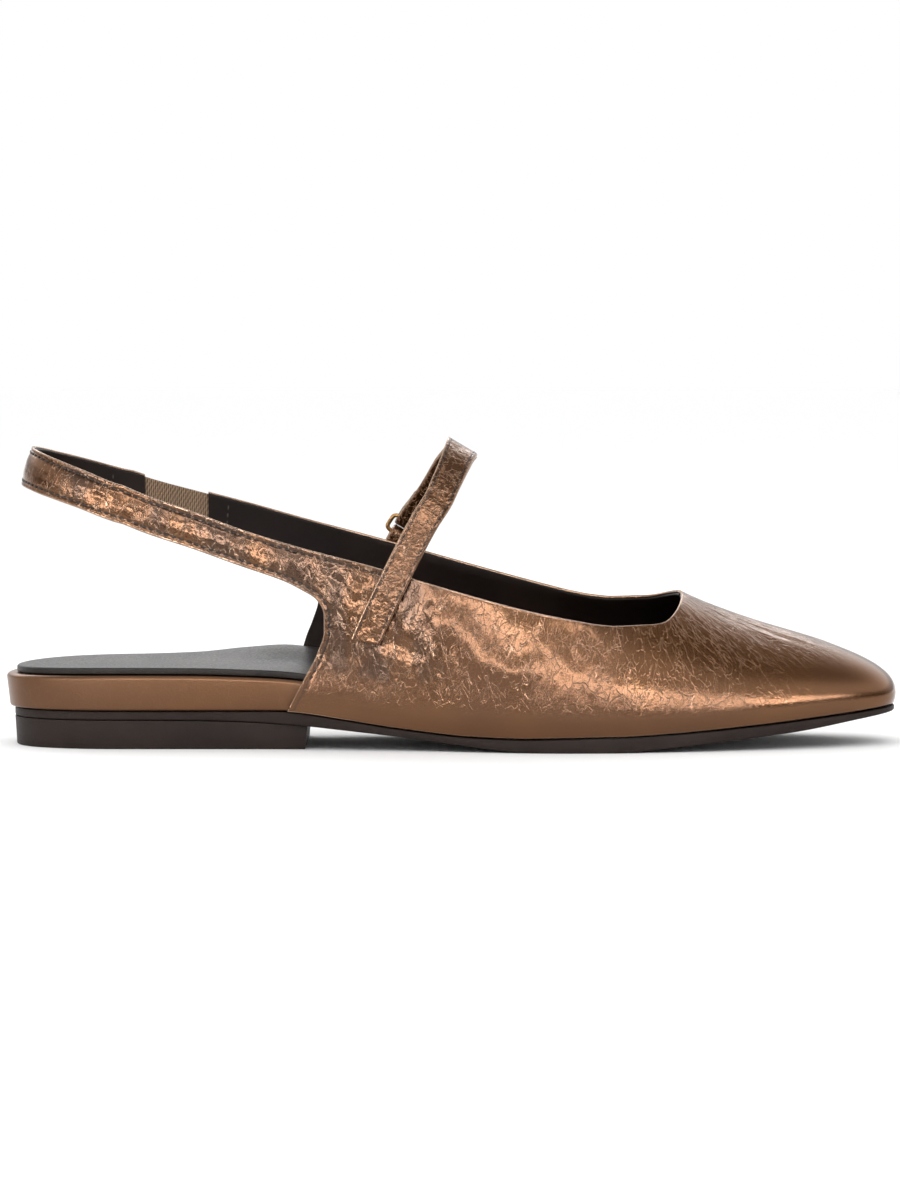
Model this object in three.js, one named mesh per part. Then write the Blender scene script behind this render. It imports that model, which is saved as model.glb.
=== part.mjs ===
// A right sling back flat: soft square toe, low heel, sling strap with an elastic, and a narrow instep strap.
// Millimetres, +Z up, toe towards +X, inner side towards +Y. The origin is the middle of the footprint, on the
// floor.
import * as THREE from 'three';

// Driving sizes
const LENGTH = 262; // back of the heel platform to the tip of the toe
const BALL_WIDTH = 80; // across the ball, the width that the last's table follows
const INSTEP_HEIGHT = 88.5; // floor to the last's crown under the instep strap
const HEEL_LIFT = 8.5; // floor to the underside of the outsole at the heel
const TOE_SPRING = 9.8; // floor to the underside of the outsole at the tip
const SOLE_EDGE = 4; // thickness of the outsole at the ball
const PLATFORM = 10; // thickness of the heel platform with its covering
const WALL = 1.8; // leather and lining of the upper together
const TUCK = 1.8; // how far the upper draws in to the feather line
const TUCK_FADE = 4; // height over which that draws out again
const SOCK = 1.9; // thickness of the sock
const SOCK_MARGIN = 3; // ledge of the platform around the sock
const ARCH_PAD = 5; // rise of the sock along the inner arch
const HEEL_MARGIN = 2.4; // the heel block and outsole lie this far inside the platform
const HEEL_DRAFT = HEEL_LIFT * 0.06; // the heel block narrows by this towards the floor
const PLATFORM_DRAFT = PLATFORM * 0.09; // the platform narrows by this towards the outsole
const BREAST_AT = LENGTH * 0.34; // front face of the heel block, from the back of the shoe
const SLING_WIDTH = 10.2;
const GORE_START = LENGTH * 0.1504; // end of the sling strap on the inner side, from the back of the shoe
const GORE_END = LENGTH * 0.2229; // end of the inner quarter's tongue
const GORE_THICKNESS = 1.1;
const GORE_STEP = 0.6; // the elastic is this much narrower than the leather, above and below
const STRAP_WIDTH = 8.5; // instep strap
const STRAP_THICKNESS = 1.6;
const TAB_WIDTH = 7.2;
const RING_WIRE = 1.3; // diameter of the ring's wire
const RING_WIDTH = 12; // across the outside of the ring
const RING_HEIGHT = 6.6; // along the strap, outside of the ring
const THROAT_REACH = LENGTH * 0.0794; // from the toe's centre to the front edge of the throat
const THROAT_OUTER_POWER = 3; // squareness of the throat's corners
const THROAT_INNER_POWER = 2;
const THROAT_BLEND = 0.04; // softness of the blend from the level topline into the throat's corner, in radians
const THROAT_EASE = 8; // how fast that softness comes in
const RING_POWER = 5; // squareness of the ring
const GAP = 0.3; // clearance between pieces that touch

// Shape of the last. Powers of the section and of the two rounded ends.
const SECTION_POWER = 2.2;
const HEEL_POWER = 2.3;
const TOE_POWER = 3.2;
const TOP_POWER = 3.1;
const HEEL_CENTRE = LENGTH * 0.1375; // where the rounding of the heel starts, from the back
const TOE_CENTRE = LENGTH * 0.6795; // where the rounding of the toe starts
const TOE_TOP = LENGTH * 0.9084; // where the top of the toe starts to fall
const HEEL_OVERHANG = WALL + GAP; // the last stands out past the platform, which leaves room for the quarter

// Rows run from heel to toe. at: share of LENGTH. outer, inner: half widths, shares of BALL_WIDTH.
// crown: top of the last, share of INSTEP_HEIGHT. tuck: share of TUCK.
const LAST = [
  { at: 0, outer: 0.366, inner: 0.358, crown: 1.33, tuck: 0 },
  { at: 0.1375, outer: 0.366, inner: 0.358, crown: 1.33, tuck: 0 },
  { at: 0.267, outer: 0.368, inner: 0.348, crown: 1.29, tuck: 0 },
  { at: 0.344, outer: 0.372, inner: 0.33, crown: 1.232, tuck: 0.12 },
  { at: 0.42, outer: 0.398, inner: 0.326, crown: 1.147, tuck: 0.4 },
  { at: 0.51, outer: 0.452, inner: 0.352, crown: 0.976, tuck: 0.7 },
  { at: 0.573, outer: 0.494, inner: 0.396, crown: 0.87, tuck: 0.85 },
  { at: 0.63, outer: 0.51, inner: 0.444, crown: 0.742, tuck: 0.9 },
  { at: 0.6795, outer: 0.505, inner: 0.474, crown: 0.638, tuck: 0.95 },
  { at: 0.725, outer: 0.48, inner: 0.491, crown: 0.558, tuck: 1 },
  { at: 0.7825, outer: 0.442, inner: 0.492, crown: 0.473, tuck: 1 },
  { at: 0.84, outer: 0.4, inner: 0.476, crown: 0.409, tuck: 1 },
  { at: 0.893, outer: 0.358, inner: 0.452, crown: 0.363, tuck: 1 },
  { at: 0.954, outer: 0.315, inner: 0.424, crown: 0.304, tuck: 1 },
  { at: 1, outer: 0.285, inner: 0.4, crown: 0.266, tuck: 1 },
];

// heel: underside, share of HEEL_LIFT. toe: underside, share of TOE_SPRING. edge: share of SOLE_EDGE.
// wedge: share of PLATFORM. pad: share of ARCH_PAD.
const BOTTOM = [
  { at: 0, heel: 1, toe: 0, edge: 0.63, wedge: 1, pad: 0.12 },
  { at: 0.1375, heel: 1, toe: 0, edge: 0.63, wedge: 1.05, pad: 0.18 },
  { at: 0.21, heel: 0.99, toe: 0, edge: 0.66, wedge: 1.04, pad: 0.32 },
  { at: 0.267, heel: 0.95, toe: 0, edge: 0.75, wedge: 1, pad: 0.7 },
  { at: 0.325, heel: 0.85, toe: 0, edge: 0.9, wedge: 0.94, pad: 1 },
  { at: 0.382, heel: 0.69, toe: 0, edge: 0.7, wedge: 0.89, pad: 1 },
  { at: 0.439, heel: 0.5, toe: 0, edge: 0.53, wedge: 0.75, pad: 0.8 },
  { at: 0.496, heel: 0.28, toe: 0, edge: 0.56, wedge: 0.5, pad: 0.4 },
  { at: 0.553, heel: 0.08, toe: 0, edge: 0.79, wedge: 0.27, pad: 0.1 },
  { at: 0.59, heel: 0, toe: 0, edge: 0.93, wedge: 0.17, pad: 0 },
  { at: 0.64, heel: 0, toe: 0, edge: 1, wedge: 0.05, pad: 0 },
  { at: 0.68, heel: 0, toe: 0, edge: 1.05, wedge: 0, pad: 0 },
  { at: 0.74, heel: 0, toe: 0.12, edge: 0.93, wedge: 0, pad: 0 },
  { at: 0.809, heel: 0, toe: 0.31, edge: 0.81, wedge: 0, pad: 0 },
  { at: 0.889, heel: 0, toe: 0.54, edge: 0.73, wedge: 0, pad: 0 },
  { at: 0.954, heel: 0, toe: 0.82, edge: 0.48, wedge: 0, pad: 0 },
  { at: 1, heel: 0, toe: 1, edge: 0.36, wedge: 0, pad: 0 },
];
const BALL_START = 0.59; // the outsole lies flat between these shares of LENGTH
const BALL_END = 0.68;
const PLATFORM_END = 0.603; // front edge of the platform, share of LENGTH

// Top of the sling round the back of the heel. at: 0 at the back, 1 at the side. Shares of INSTEP_HEIGHT.
const SLING_TOP = [
  { at: 0, outer: 0.99, inner: 0.99 },
  { at: 0.25, outer: 0.98, inner: 0.983 },
  { at: 0.5, outer: 0.958, inner: 0.965 },
  { at: 0.75, outer: 0.923, inner: 0.938 },
  { at: 1, outer: 0.867, inner: 0.9 },
];

// Top of the sling and the topline along the sides. Shares of LENGTH and INSTEP_HEIGHT.
const TOPLINE = [
  { at: 0.1375, outer: 0.867, inner: 0.9 },
  { at: 0.161, outer: 0.837, inner: 0.877 },
  { at: 0.211, outer: 0.786, inner: 0.837 },
  { at: 0.269, outer: 0.723, inner: 0.792 },
  { at: 0.333, outer: 0.665, inner: 0.739 },
  { at: 0.42, outer: 0.598, inner: 0.671 },
  { at: 0.502, outer: 0.527, inner: 0.602 },
  { at: 0.586, outer: 0.462, inner: 0.532 },
  { at: 0.64, outer: 0.43, inner: 0.491 },
  { at: 0.66, outer: 0.4195, inner: 0.48 },
  { at: 0.6795, outer: 0.4135, inner: 0.474 },
];

// Lower edge of the sling and back edge of the quarter, in rows that each give one line up to the topline.
// low: where the line starts. top: where it ends. Shares of LENGTH.
// drop: height below the topline, share of SLING_WIDTH. rise: height over the feather, share of the topline's.
const OUTER_EDGE = [
  { low: 0.1375, top: 0.1375, drop: 1.1 },
  { low: 0.222, top: 0.229, drop: 1.06 },
  { low: 0.268, top: 0.284, drop: 1.05 },
  { low: 0.311, top: 0.336, drop: 1.08 },
  { low: 0.333, top: 0.366, drop: 1.19 },
  { low: 0.35, top: 0.39, rise: 0.71 },
  { low: 0.359, top: 0.409, rise: 0.62 },
  { low: 0.359, top: 0.425, rise: 0.52 },
  { low: 0.351, top: 0.443, rise: 0.37 },
  { low: 0.338, top: 0.462, rise: 0.22 },
  { low: 0.318, top: 0.482, rise: 0 },
];
const INNER_EDGE = [
  { low: 0.2229, top: 0.2229, drop: 1.04 },
  { low: 0.268, top: 0.276, drop: 1.05 },
  { low: 0.305, top: 0.325, drop: 1.12 },
  { low: 0.333, top: 0.362, drop: 1.34 },
  { low: 0.345, top: 0.388, rise: 0.66 },
  { low: 0.3475, top: 0.407, rise: 0.56 },
  { low: 0.341, top: 0.425, rise: 0.44 },
  { low: 0.3335, top: 0.443, rise: 0.34 },
  { low: 0.325, top: 0.462, rise: 0.18 },
  { low: 0.318, top: 0.482, rise: 0 },
];

// Middle line of the instep strap over the last. at: degrees round the section from the outer feather line.
const STRAP_PATH = [
  { at: 12.5, along: 0.405 },
  { at: 27, along: 0.441 },
  { at: 41, along: 0.4695 },
  { at: 52, along: 0.4885 },
  { at: 74, along: 0.5075 },
  { at: 90, along: 0.513 },
  { at: 105, along: 0.509 },
  { at: 118, along: 0.4955 },
  { at: 130, along: 0.4795 },
  { at: 142, along: 0.455 },
  { at: 156, along: 0.42 },
];
const STRAP_START = 12.5;
const RING_AT = 145.2; // degrees round the section to the middle of the ring
const TAB_END = 155.5; // degrees round the section to the lower end of the tab
const STRAP_RETURN_END = 134.5; // degrees round the section to the end that is folded back through the ring
const TAB_RETURN_END = 150.5;
const BAR_STEP = 3.4; // degrees between the middle of the ring and a strap that still lies on the last

// Lines of the upper: round the heel, for each row of a quarter's table, along the forepart, and round the toe
const HEEL_LINES = 20;
const LINES_PER_ROW = 3;
const FOREPART_LINES = 14;
const TOE_LINES = 36;
const UPPER_ROWS = 10;
const ROW_SPREAD = 1.35; // power that gathers the rows near the feather line

const leather = { color: 0x7d5638, roughness: 0.36, metalness: 0.7 };
const lining = { color: 0x2a1d18, roughness: 0.7, metalness: 0 };
const rubber = { color: 0x2e211d, roughness: 0.6, metalness: 0 };
const elastic = { color: 0x6f543c, roughness: 0.75, metalness: 0.2 };
const brass = { color: 0x8a6234, roughness: 0.35, metalness: 0.95 };

// A smooth curve through one column of a table that never overshoots its rows.
function curve(table, name) {
  const xs = table.map((row) => row.at);
  const ys = table.map((row) => row[name]);
  const last = xs.length - 1;
  const steps = ys.slice(1).map((y, i) => (y - ys[i]) / (xs[i + 1] - xs[i]));
  const slopes = ys.map((y, i) => {
    if (i === 0) return steps[0];
    if (i === last) return steps[last - 1];
    const before = steps[i - 1];
    const after = steps[i];
    return before * after <= 0 ? 0 : (2 * before * after) / (before + after);
  });
  return (at) => {
    const x = Math.min(Math.max(at, xs[0]), xs[last]);
    let i = 0;
    while (i < last - 1 && x > xs[i + 1]) i += 1;
    const width = xs[i + 1] - xs[i];
    const t = (x - xs[i]) / width;
    const u = 1 - t;
    return (
      ys[i] * (1 + 2 * t) * u * u +
      slopes[i] * width * t * u * u +
      ys[i + 1] * t * t * (1 + 2 * u) -
      slopes[i + 1] * width * t * t * u
    );
  };
}

const lastOuter = curve(LAST, 'outer');
const lastInner = curve(LAST, 'inner');
const lastCrown = curve(LAST, 'crown');
const lastTuck = curve(LAST, 'tuck');
const soleHeel = curve(BOTTOM, 'heel');
const soleToe = curve(BOTTOM, 'toe');
const soleEdge = curve(BOTTOM, 'edge');
const wedgeShare = curve(BOTTOM, 'wedge');
const padShare = curve(BOTTOM, 'pad');
const outerTopline = curve(TOPLINE, 'outer');
const innerTopline = curve(TOPLINE, 'inner');
const outerSling = curve(SLING_TOP, 'outer');
const innerSling = curve(SLING_TOP, 'inner');
const strapAlong = curve(STRAP_PATH, 'along');

const heelReach = HEEL_CENTRE + HEEL_OVERHANG;
const TIP_TUCK = 0.75; // share of TUCK that the tip of the toe draws in at its foremost height
const toeReach = LENGTH + TUCK * TIP_TUCK - TOE_CENTRE;

// Plan and heights of the last, at a length x from the back of the shoe
const middle = (x) => (BALL_WIDTH * (lastInner(x / LENGTH) - lastOuter(x / LENGTH))) / 2;
const halfWidth = (x) => (BALL_WIDTH * (lastInner(x / LENGTH) + lastOuter(x / LENGTH))) / 2;
const under = (x) => HEEL_LIFT * soleHeel(x / LENGTH) + TOE_SPRING * soleToe(x / LENGTH);
const feather = (x) => under(x) + SOLE_EDGE * soleEdge(x / LENGTH) + GAP;
const rounding = (share, power) => Math.pow(Math.max(1 - Math.pow(Math.max(share, 0), power), 0), 1 / power);

function crown(x) {
  const fall = rounding((x - TOE_TOP) / (TOE_CENTRE + toeReach - TOE_TOP), TOP_POWER);
  return feather(x) + (INSTEP_HEIGHT * lastCrown(x / LENGTH) - feather(x)) * fall;
}

function roundedHalf(x) {
  return halfWidth(x) * rounding((x - TOE_CENTRE) / toeReach, TOE_POWER);
}

// A ring place counts 0 at the back of the heel, 1 to 2 along the outer side, 3 at the toe, 4 to 5 back along
// the inner side and, below 0, the inner side of the heel.
const ringAt = (x) => 1 + (x - HEEL_CENTRE) / (TOE_CENTRE - HEEL_CENTRE);
const isInner = (ring) => ring < 0 || ring > 3;
const fold = (ring) => (ring < 0 ? -ring : ring <= 3 ? ring : 6 - ring);

// Point of the last at a ring place. angle: 0 at the feather line, a right angle on the crown.
function lastPoint(ring, angle) {
  const u = fold(ring);
  const side = isInner(ring) ? 1 : -1;
  const share = Math.pow(Math.cos(angle), 2 / SECTION_POWER);
  let x;
  let spread;
  let reach = 0;
  let across = 1;
  if (u < 1) {
    const turn = (Math.PI / 2) * (1 - u);
    x = HEEL_CENTRE - heelReach * Math.pow(Math.sin(turn), 2 / HEEL_POWER) * share;
    spread = halfWidth(HEEL_CENTRE) * Math.pow(Math.max(Math.cos(turn), 0), 2 / HEEL_POWER) * share;
  } else if (u <= 2) {
    x = HEEL_CENTRE + (TOE_CENTRE - HEEL_CENTRE) * (u - 1);
    spread = halfWidth(x) * share;
  } else {
    const turn = (Math.PI / 2) * Math.min(u - 2, 1);
    const forward = Math.pow(Math.sin(turn), 2 / TOE_POWER);
    const sideways = Math.pow(Math.max(Math.cos(turn), 0), 2 / TOE_POWER);
    const rim = TOE_CENTRE + toeReach * forward;
    x = TOE_CENTRE + toeReach * forward * share;
    spread = halfWidth(rim) * sideways * share;
    reach = Math.pow(forward, TOE_POWER - 1) / toeReach;
    across = Math.pow(sideways, TOE_POWER - 1) / halfWidth(rim);
  }
  const low = feather(x);
  const full = u > 2 ? roundedHalf(x) : halfWidth(x);
  const level = u > 2 && angle > 0 ? spread / full : share;
  const z = low + (crown(x) - low) * rounding(angle > 0 ? level : 1, SECTION_POWER);
  const pull = (TUCK * lastTuck(x / LENGTH) * Math.exp(-(z - low) / TUCK_FADE)) / Math.hypot(reach, across);
  return new THREE.Vector3(x - pull * reach, middle(x) + side * (spread - pull * across), z);
}

// Angle round the section at which the last's side stands at a height
function angleAt(x, height) {
  const share = Math.min(Math.max((height - feather(x)) / (crown(x) - feather(x)), 0), 1);
  return Math.asin(Math.pow(share, SECTION_POWER / 2));
}

function toplineAt(x, inner) {
  return INSTEP_HEIGHT * (inner ? innerTopline(x / LENGTH) : outerTopline(x / LENGTH));
}

// Angle on the ray of a ring place at which the last stands at a height
function levelAngle(ring, height) {
  let low = 0;
  let high = Math.PI / 2;
  for (let i = 0; i < 30; i += 1) {
    const half = (low + high) / 2;
    if (lastPoint(ring, half).z < height) low = half;
    else high = half;
  }
  return (low + high) / 2;
}

// Top edge of the upper in the rounded throat: where the ray of a ring place meets a squared oval, and near the
// sides the height of the topline, carried on level. The two blend softly.
function throatAngle(ring) {
  const inner = isInner(ring);
  const turn = (Math.PI / 2) * Math.min(fold(ring) - 2, 1);
  const forward = Math.pow(Math.sin(turn), 2 / TOE_POWER);
  const sideways = Math.pow(Math.max(Math.cos(turn), 0), 2 / TOE_POWER);
  const rim = TOE_CENTRE + toeReach * forward;
  const start = Math.cos(angleAt(TOE_CENTRE, toplineAt(TOE_CENTRE, inner)));
  const throatHalf = halfWidth(TOE_CENTRE) * Math.pow(start, 2 / SECTION_POWER);
  const power = inner ? THROAT_INNER_POWER : THROAT_OUTER_POWER;
  const sum =
    Math.pow((toeReach * forward) / THROAT_REACH, power) +
    Math.pow((halfWidth(rim) * sideways) / throatHalf, power);
  const oval = Math.acos(Math.pow(Math.pow(1 / sum, 1 / power), SECTION_POWER / 2));
  const level = levelAngle(ring, toplineAt(TOE_CENTRE, inner));
  const blend = THROAT_BLEND * Math.min(forward * THROAT_EASE, 1);
  return (oval + level + Math.hypot(oval - level, blend)) / 2;
}

// One line of the upper from its low edge to its top edge: ring places and angles at both ends
function slingLine(ring) {
  const inner = isInner(ring);
  const u = fold(ring);
  const top = INSTEP_HEIGHT * (inner ? innerSling(u) : outerSling(u));
  const drop = (inner ? INNER_EDGE[0].drop : OUTER_EDGE[0].drop) * SLING_WIDTH;
  return {
    ring: [ring, ring],
    angle: [angleAt(HEEL_CENTRE, top - drop), angleAt(HEEL_CENTRE, top)],
  };
}

function sideLine(lowX, topX, lowHeight, inner) {
  const place = (x) => (inner ? 6 - ringAt(x) : ringAt(x));
  return {
    ring: [place(lowX), place(topX)],
    angle: [angleAt(lowX, lowHeight), angleAt(topX, toplineAt(topX, inner))],
  };
}

function edgeCurves(table, inner) {
  const rows = table.map((row, i) => {
    const x = row.low * LENGTH;
    const top = toplineAt(x, inner);
    const span = top - feather(x);
    const fall = row.rise === undefined ? (row.drop * SLING_WIDTH) / span : 1 - row.rise;
    return { at: i, low: row.low, top: row.top, fall };
  });
  const count = rows.length - 1;
  return { low: curve(rows, 'low'), top: curve(rows, 'top'), fall: curve(rows, 'fall'), count };
}

// Lines of a quarter from its free end to the centre of the toe's rounding
function quarterLines(table, inner, between) {
  const edge = edgeCurves(table, inner);
  const lines = [];
  const steps = edge.count * between;
  for (let i = 0; i <= steps; i += 1) {
    const at = i / between;
    const lowX = edge.low(at) * LENGTH;
    const top = toplineAt(lowX, inner);
    const height = i === steps ? feather(lowX) : top - edge.fall(at) * (top - feather(lowX));
    lines.push(sideLine(lowX, edge.top(at) * LENGTH, height, inner));
  }
  const lowStart = table[edge.count].low * LENGTH;
  const topStart = table[edge.count].top * LENGTH;
  for (let i = 1; i < FOREPART_LINES; i += 1) {
    const share = i / FOREPART_LINES;
    const lowX = lowStart + (TOE_CENTRE - lowStart) * share;
    const topX = topStart + (TOE_CENTRE - topStart) * share;
    lines.push(sideLine(lowX, topX, feather(lowX), inner));
  }
  return lines;
}

// Share of the turn round a quarter of the squared toe, from the side to the tip, in steps of even length
function evenTurn(share) {
  const power = TOE_POWER / 2;
  const start = Math.pow(share, power);
  return start / (start + Math.pow(1 - share, power));
}

function toeLines(count) {
  const lines = [];
  for (let i = 0; i <= count; i += 1) {
    const share = (2 * i) / count;
    const ring = share < 1 ? 2 + evenTurn(share) : 4 - evenTurn(2 - share);
    lines.push({ ring: [ring, ring], angle: [0, throatAngle(ring)] });
  }
  return lines;
}

const slingDepth = INNER_EDGE[0].drop * SLING_WIDTH; // of both ends at the elastic

// The upper is one band: from the sling's end on the inner side, round the heel and along the outer quarter,
// round the toe, and back to the tongue of the inner quarter.
function upperLines() {
  const slingEnd = sideLine(GORE_START, GORE_START, toplineAt(GORE_START, true) - slingDepth, true);
  slingEnd.ring = [-ringAt(GORE_START), -ringAt(GORE_START)];
  const lines = [slingEnd];
  for (let i = 0; i < HEEL_LINES; i += 1) lines.push(slingLine(-1 + (2 * i) / HEEL_LINES));
  lines.push(...quarterLines(OUTER_EDGE, false, LINES_PER_ROW));
  lines.push(...toeLines(TOE_LINES));
  lines.push(...quarterLines(INNER_EDGE, true, LINES_PER_ROW).reverse());
  return lines;
}

// Rows of points from the low edge to the top edge; fine near the feather line, even on the strap
function sheetOf(lines, rows) {
  return lines.map((line) =>
    Array.from({ length: rows + 1 }, (unused, j) => {
      const share = j / rows;
      const ring = line.ring[0] + (line.ring[1] - line.ring[0]) * share;
      const bend = line.angle[0] === 0 ? Math.pow(share, ROW_SPREAD) : share;
      return lastPoint(ring, line.angle[0] + (line.angle[1] - line.angle[0]) * bend);
    }),
  );
}

// Unit normals of a sheet, on the side of its increasing rows turned left of its increasing lines
function normalsOf(sheet) {
  const lines = sheet.length - 1;
  const rows = sheet[0].length - 1;
  return sheet.map((line, i) =>
    line.map((point, j) => {
      const along = sheet[Math.min(i + 1, lines)][j].clone().sub(sheet[Math.max(i - 1, 0)][j]);
      const up = line[Math.min(j + 1, rows)].clone().sub(line[Math.max(j - 1, 0)]);
      return along.cross(up).normalize();
    }),
  );
}

function shifted(sheet, normals, distance) {
  return sheet.map((line, i) => line.map((point, j) => point.clone().addScaledVector(normals[i][j], distance)));
}

// A closed solid between two sheets with the same lines and rows
function solidBetween(outer, inner) {
  const lines = outer.length;
  const rows = outer[0].length;
  const positions = [];
  for (const sheet of [outer, inner]) {
    for (const line of sheet) for (const point of line) positions.push(point.x - LENGTH / 2, point.y, point.z);
  }
  const at = (sheet, i, j) => (sheet * lines + i) * rows + j;
  const faces = [];
  const quad = (a, b, c, d) => faces.push(a, b, c, a, c, d);
  for (let i = 0; i + 1 < lines; i += 1) {
    for (let j = 0; j + 1 < rows; j += 1) {
      quad(at(0, i, j), at(0, i + 1, j), at(0, i + 1, j + 1), at(0, i, j + 1));
      quad(at(1, i, j), at(1, i, j + 1), at(1, i + 1, j + 1), at(1, i + 1, j));
    }
    quad(at(0, i + 1, 0), at(0, i, 0), at(1, i, 0), at(1, i + 1, 0));
    quad(at(0, i, rows - 1), at(0, i + 1, rows - 1), at(1, i + 1, rows - 1), at(1, i, rows - 1));
  }
  for (let j = 0; j + 1 < rows; j += 1) {
    quad(at(0, 0, j), at(0, 0, j + 1), at(1, 0, j + 1), at(1, 0, j));
    quad(at(0, lines - 1, j + 1), at(0, lines - 1, j), at(1, lines - 1, j), at(1, lines - 1, j + 1));
  }
  return { positions, faces };
}

function meshOf(name, look, { positions, faces }) {
  const geometry = new THREE.BufferGeometry();
  geometry.setAttribute('position', new THREE.Float32BufferAttribute(positions, 3));
  geometry.setIndex(faces);
  geometry.computeVertexNormals();
  const mesh = new THREE.Mesh(geometry, new THREE.MeshStandardMaterial({ name, ...look }));
  mesh.name = name;
  return mesh;
}

// Upper
function makeUpper() {
  const outer = sheetOf(upperLines(), UPPER_ROWS);
  const inner = shifted(outer, normalsOf(outer), -WALL);
  return meshOf('upper', leather, solidBetween(outer, inner));
}

// Elastic between the sling's end and the inner quarter's tongue
function makeGore() {
  const steps = 5;
  const lines = Array.from({ length: steps + 1 }, (unused, i) => {
    const x = GORE_START + GAP + ((GORE_END - GORE_START - 2 * GAP) * i) / steps;
    const top = toplineAt(x, true);
    const low = angleAt(x, top - slingDepth + GORE_STEP);
    const ring = -ringAt(x);
    return { ring: [ring, ring], angle: [low, angleAt(x, top - GORE_STEP)] };
  });
  const face = sheetOf(lines.reverse(), 4);
  const normals = normalsOf(face);
  const sunk = (WALL - GORE_THICKNESS) / 2;
  const outer = shifted(face, normals, -sunk);
  const inner = shifted(face, normals, -sunk - GORE_THICKNESS);
  return meshOf('gore', elastic, solidBetween(outer, inner));
}

// Stations of a flat piece along the shoe: its outline is the last's, drawn in by an inset at each place
function stationsOf(inset, endShare) {
  const stations = [];
  const ends = 9;
  const front = 16;
  const spacing = LENGTH / 37.5;
  const first = 0.05; // share of the turn that the blunt end takes
  for (let i = 0; i <= ends; i += 1) {
    const turn = (Math.PI / 2) * (1 - first - ((1 - first) * i) / ends);
    const x = HEEL_CENTRE - (heelReach - inset(0)) * Math.pow(Math.sin(turn), 2 / HEEL_POWER);
    const half = (halfWidth(HEEL_CENTRE) - inset(0)) * Math.pow(Math.cos(turn), 2 / HEEL_POWER);
    stations.push({ x, half });
  }
  const last = Math.min(endShare * LENGTH, TOE_CENTRE);
  const marks = [BALL_START * LENGTH, BALL_END * LENGTH].filter((x) => x > HEEL_CENTRE && x < last - 1);
  const middles = Math.round((last - HEEL_CENTRE) / spacing);
  for (let i = 1; i <= middles; i += 1) {
    const x = HEEL_CENTRE + ((last - HEEL_CENTRE) * i) / middles;
    const mark = marks.find((value) => Math.abs(value - x) < (last - HEEL_CENTRE) / middles / 2);
    const place = i < middles && mark !== undefined ? mark : x;
    stations.push({ x: place, half: halfWidth(place) - inset(place) });
  }
  if (endShare < 1) return stations;
  for (let i = 1; i <= front; i += 1) {
    const turn = (Math.PI / 2) * (1 - first / 2) * evenTurn(i / front);
    const margin = inset(LENGTH);
    const x = TOE_CENTRE + (toeReach - margin) * Math.pow(Math.sin(turn), 2 / TOE_POWER);
    const half = (halfWidth(x) - inset(x)) * Math.pow(Math.cos(turn), 2 / TOE_POWER);
    stations.push({ x, half });
  }
  return stations;
}

function plateOf(stations, columns, topOf, bottomOf, draft = 0) {
  const sheet = (heightOf, drawIn) =>
    stations.map(({ x, half }) =>
      columns.map((share) => {
        const y = middle(x) + share * (half - drawIn);
        return new THREE.Vector3(x, y, heightOf(x, y, share));
      }),
    );
  return solidBetween(sheet(topOf, 0), sheet(bottomOf, draft));
}

const evenColumns = (count) => Array.from({ length: count + 1 }, (unused, i) => -1 + (2 * i) / count);

// The pad starts and ends at these shares of the half width
const PAD_START = 0.1;
const PAD_END = 0.85;

function smooth(share) {
  const t = Math.min(Math.max(share, 0), 1);
  return t * t * (3 - 2 * t);
}

// Platform under the foot: its top at a place, with the pad along the inner arch
function bed(x, y) {
  const across = (y - middle(x)) / halfWidth(x);
  const swell = smooth((across - PAD_START) / (PAD_END - PAD_START));
  return feather(x) + PLATFORM * wedgeShare(x / LENGTH) + ARCH_PAD * padShare(x / LENGTH) * swell;
}

const platformInset = (x) => HEEL_OVERHANG + TUCK * lastTuck(x / LENGTH);

// The outsole keeps the heel block's outline up to the first place and has the upper's from the second on
const SOLE_SPREADS = BREAST_AT * 0.78;
const SOLE_SPREAD = BREAST_AT * 1.18;

function soleInset(x) {
  const heel = HEEL_OVERHANG + HEEL_MARGIN;
  const front = TUCK * lastTuck(x / LENGTH) - GAP;
  return heel + (front - heel) * smooth((x - SOLE_SPREADS) / (SOLE_SPREAD - SOLE_SPREADS));
}

function makeOutsole() {
  const stations = stationsOf(soleInset, 1);
  const solid = plateOf(stations, [-1, -0.86, -0.5, 0, 0.5, 0.86, 1], (x) => feather(x) - GAP, under);
  return meshOf('outsole', rubber, solid);
}

function makeHeelBlock() {
  const stations = stationsOf(() => HEEL_OVERHANG + HEEL_MARGIN, BREAST_AT / LENGTH);
  const solid = plateOf(stations, evenColumns(4), (x) => under(x) - GAP, () => 0, HEEL_DRAFT);
  return meshOf('heel_block', rubber, solid);
}

function makeHeelWrap() {
  const stations = stationsOf(platformInset, PLATFORM_END);
  const solid = plateOf(stations, evenColumns(8), (x, y) => bed(x, y) - GAP, feather, PLATFORM_DRAFT);
  return meshOf('heel_wrap', leather, solid);
}

function makeInsole() {
  const stations = stationsOf((x) => platformInset(x) + SOCK_MARGIN * (x < BREAST_AT ? 1 : 0.5), 1);
  const solid = plateOf(stations, evenColumns(8), (x, y) => bed(x, y) + SOCK, bed);
  return meshOf('insole', lining, solid);
}

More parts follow.
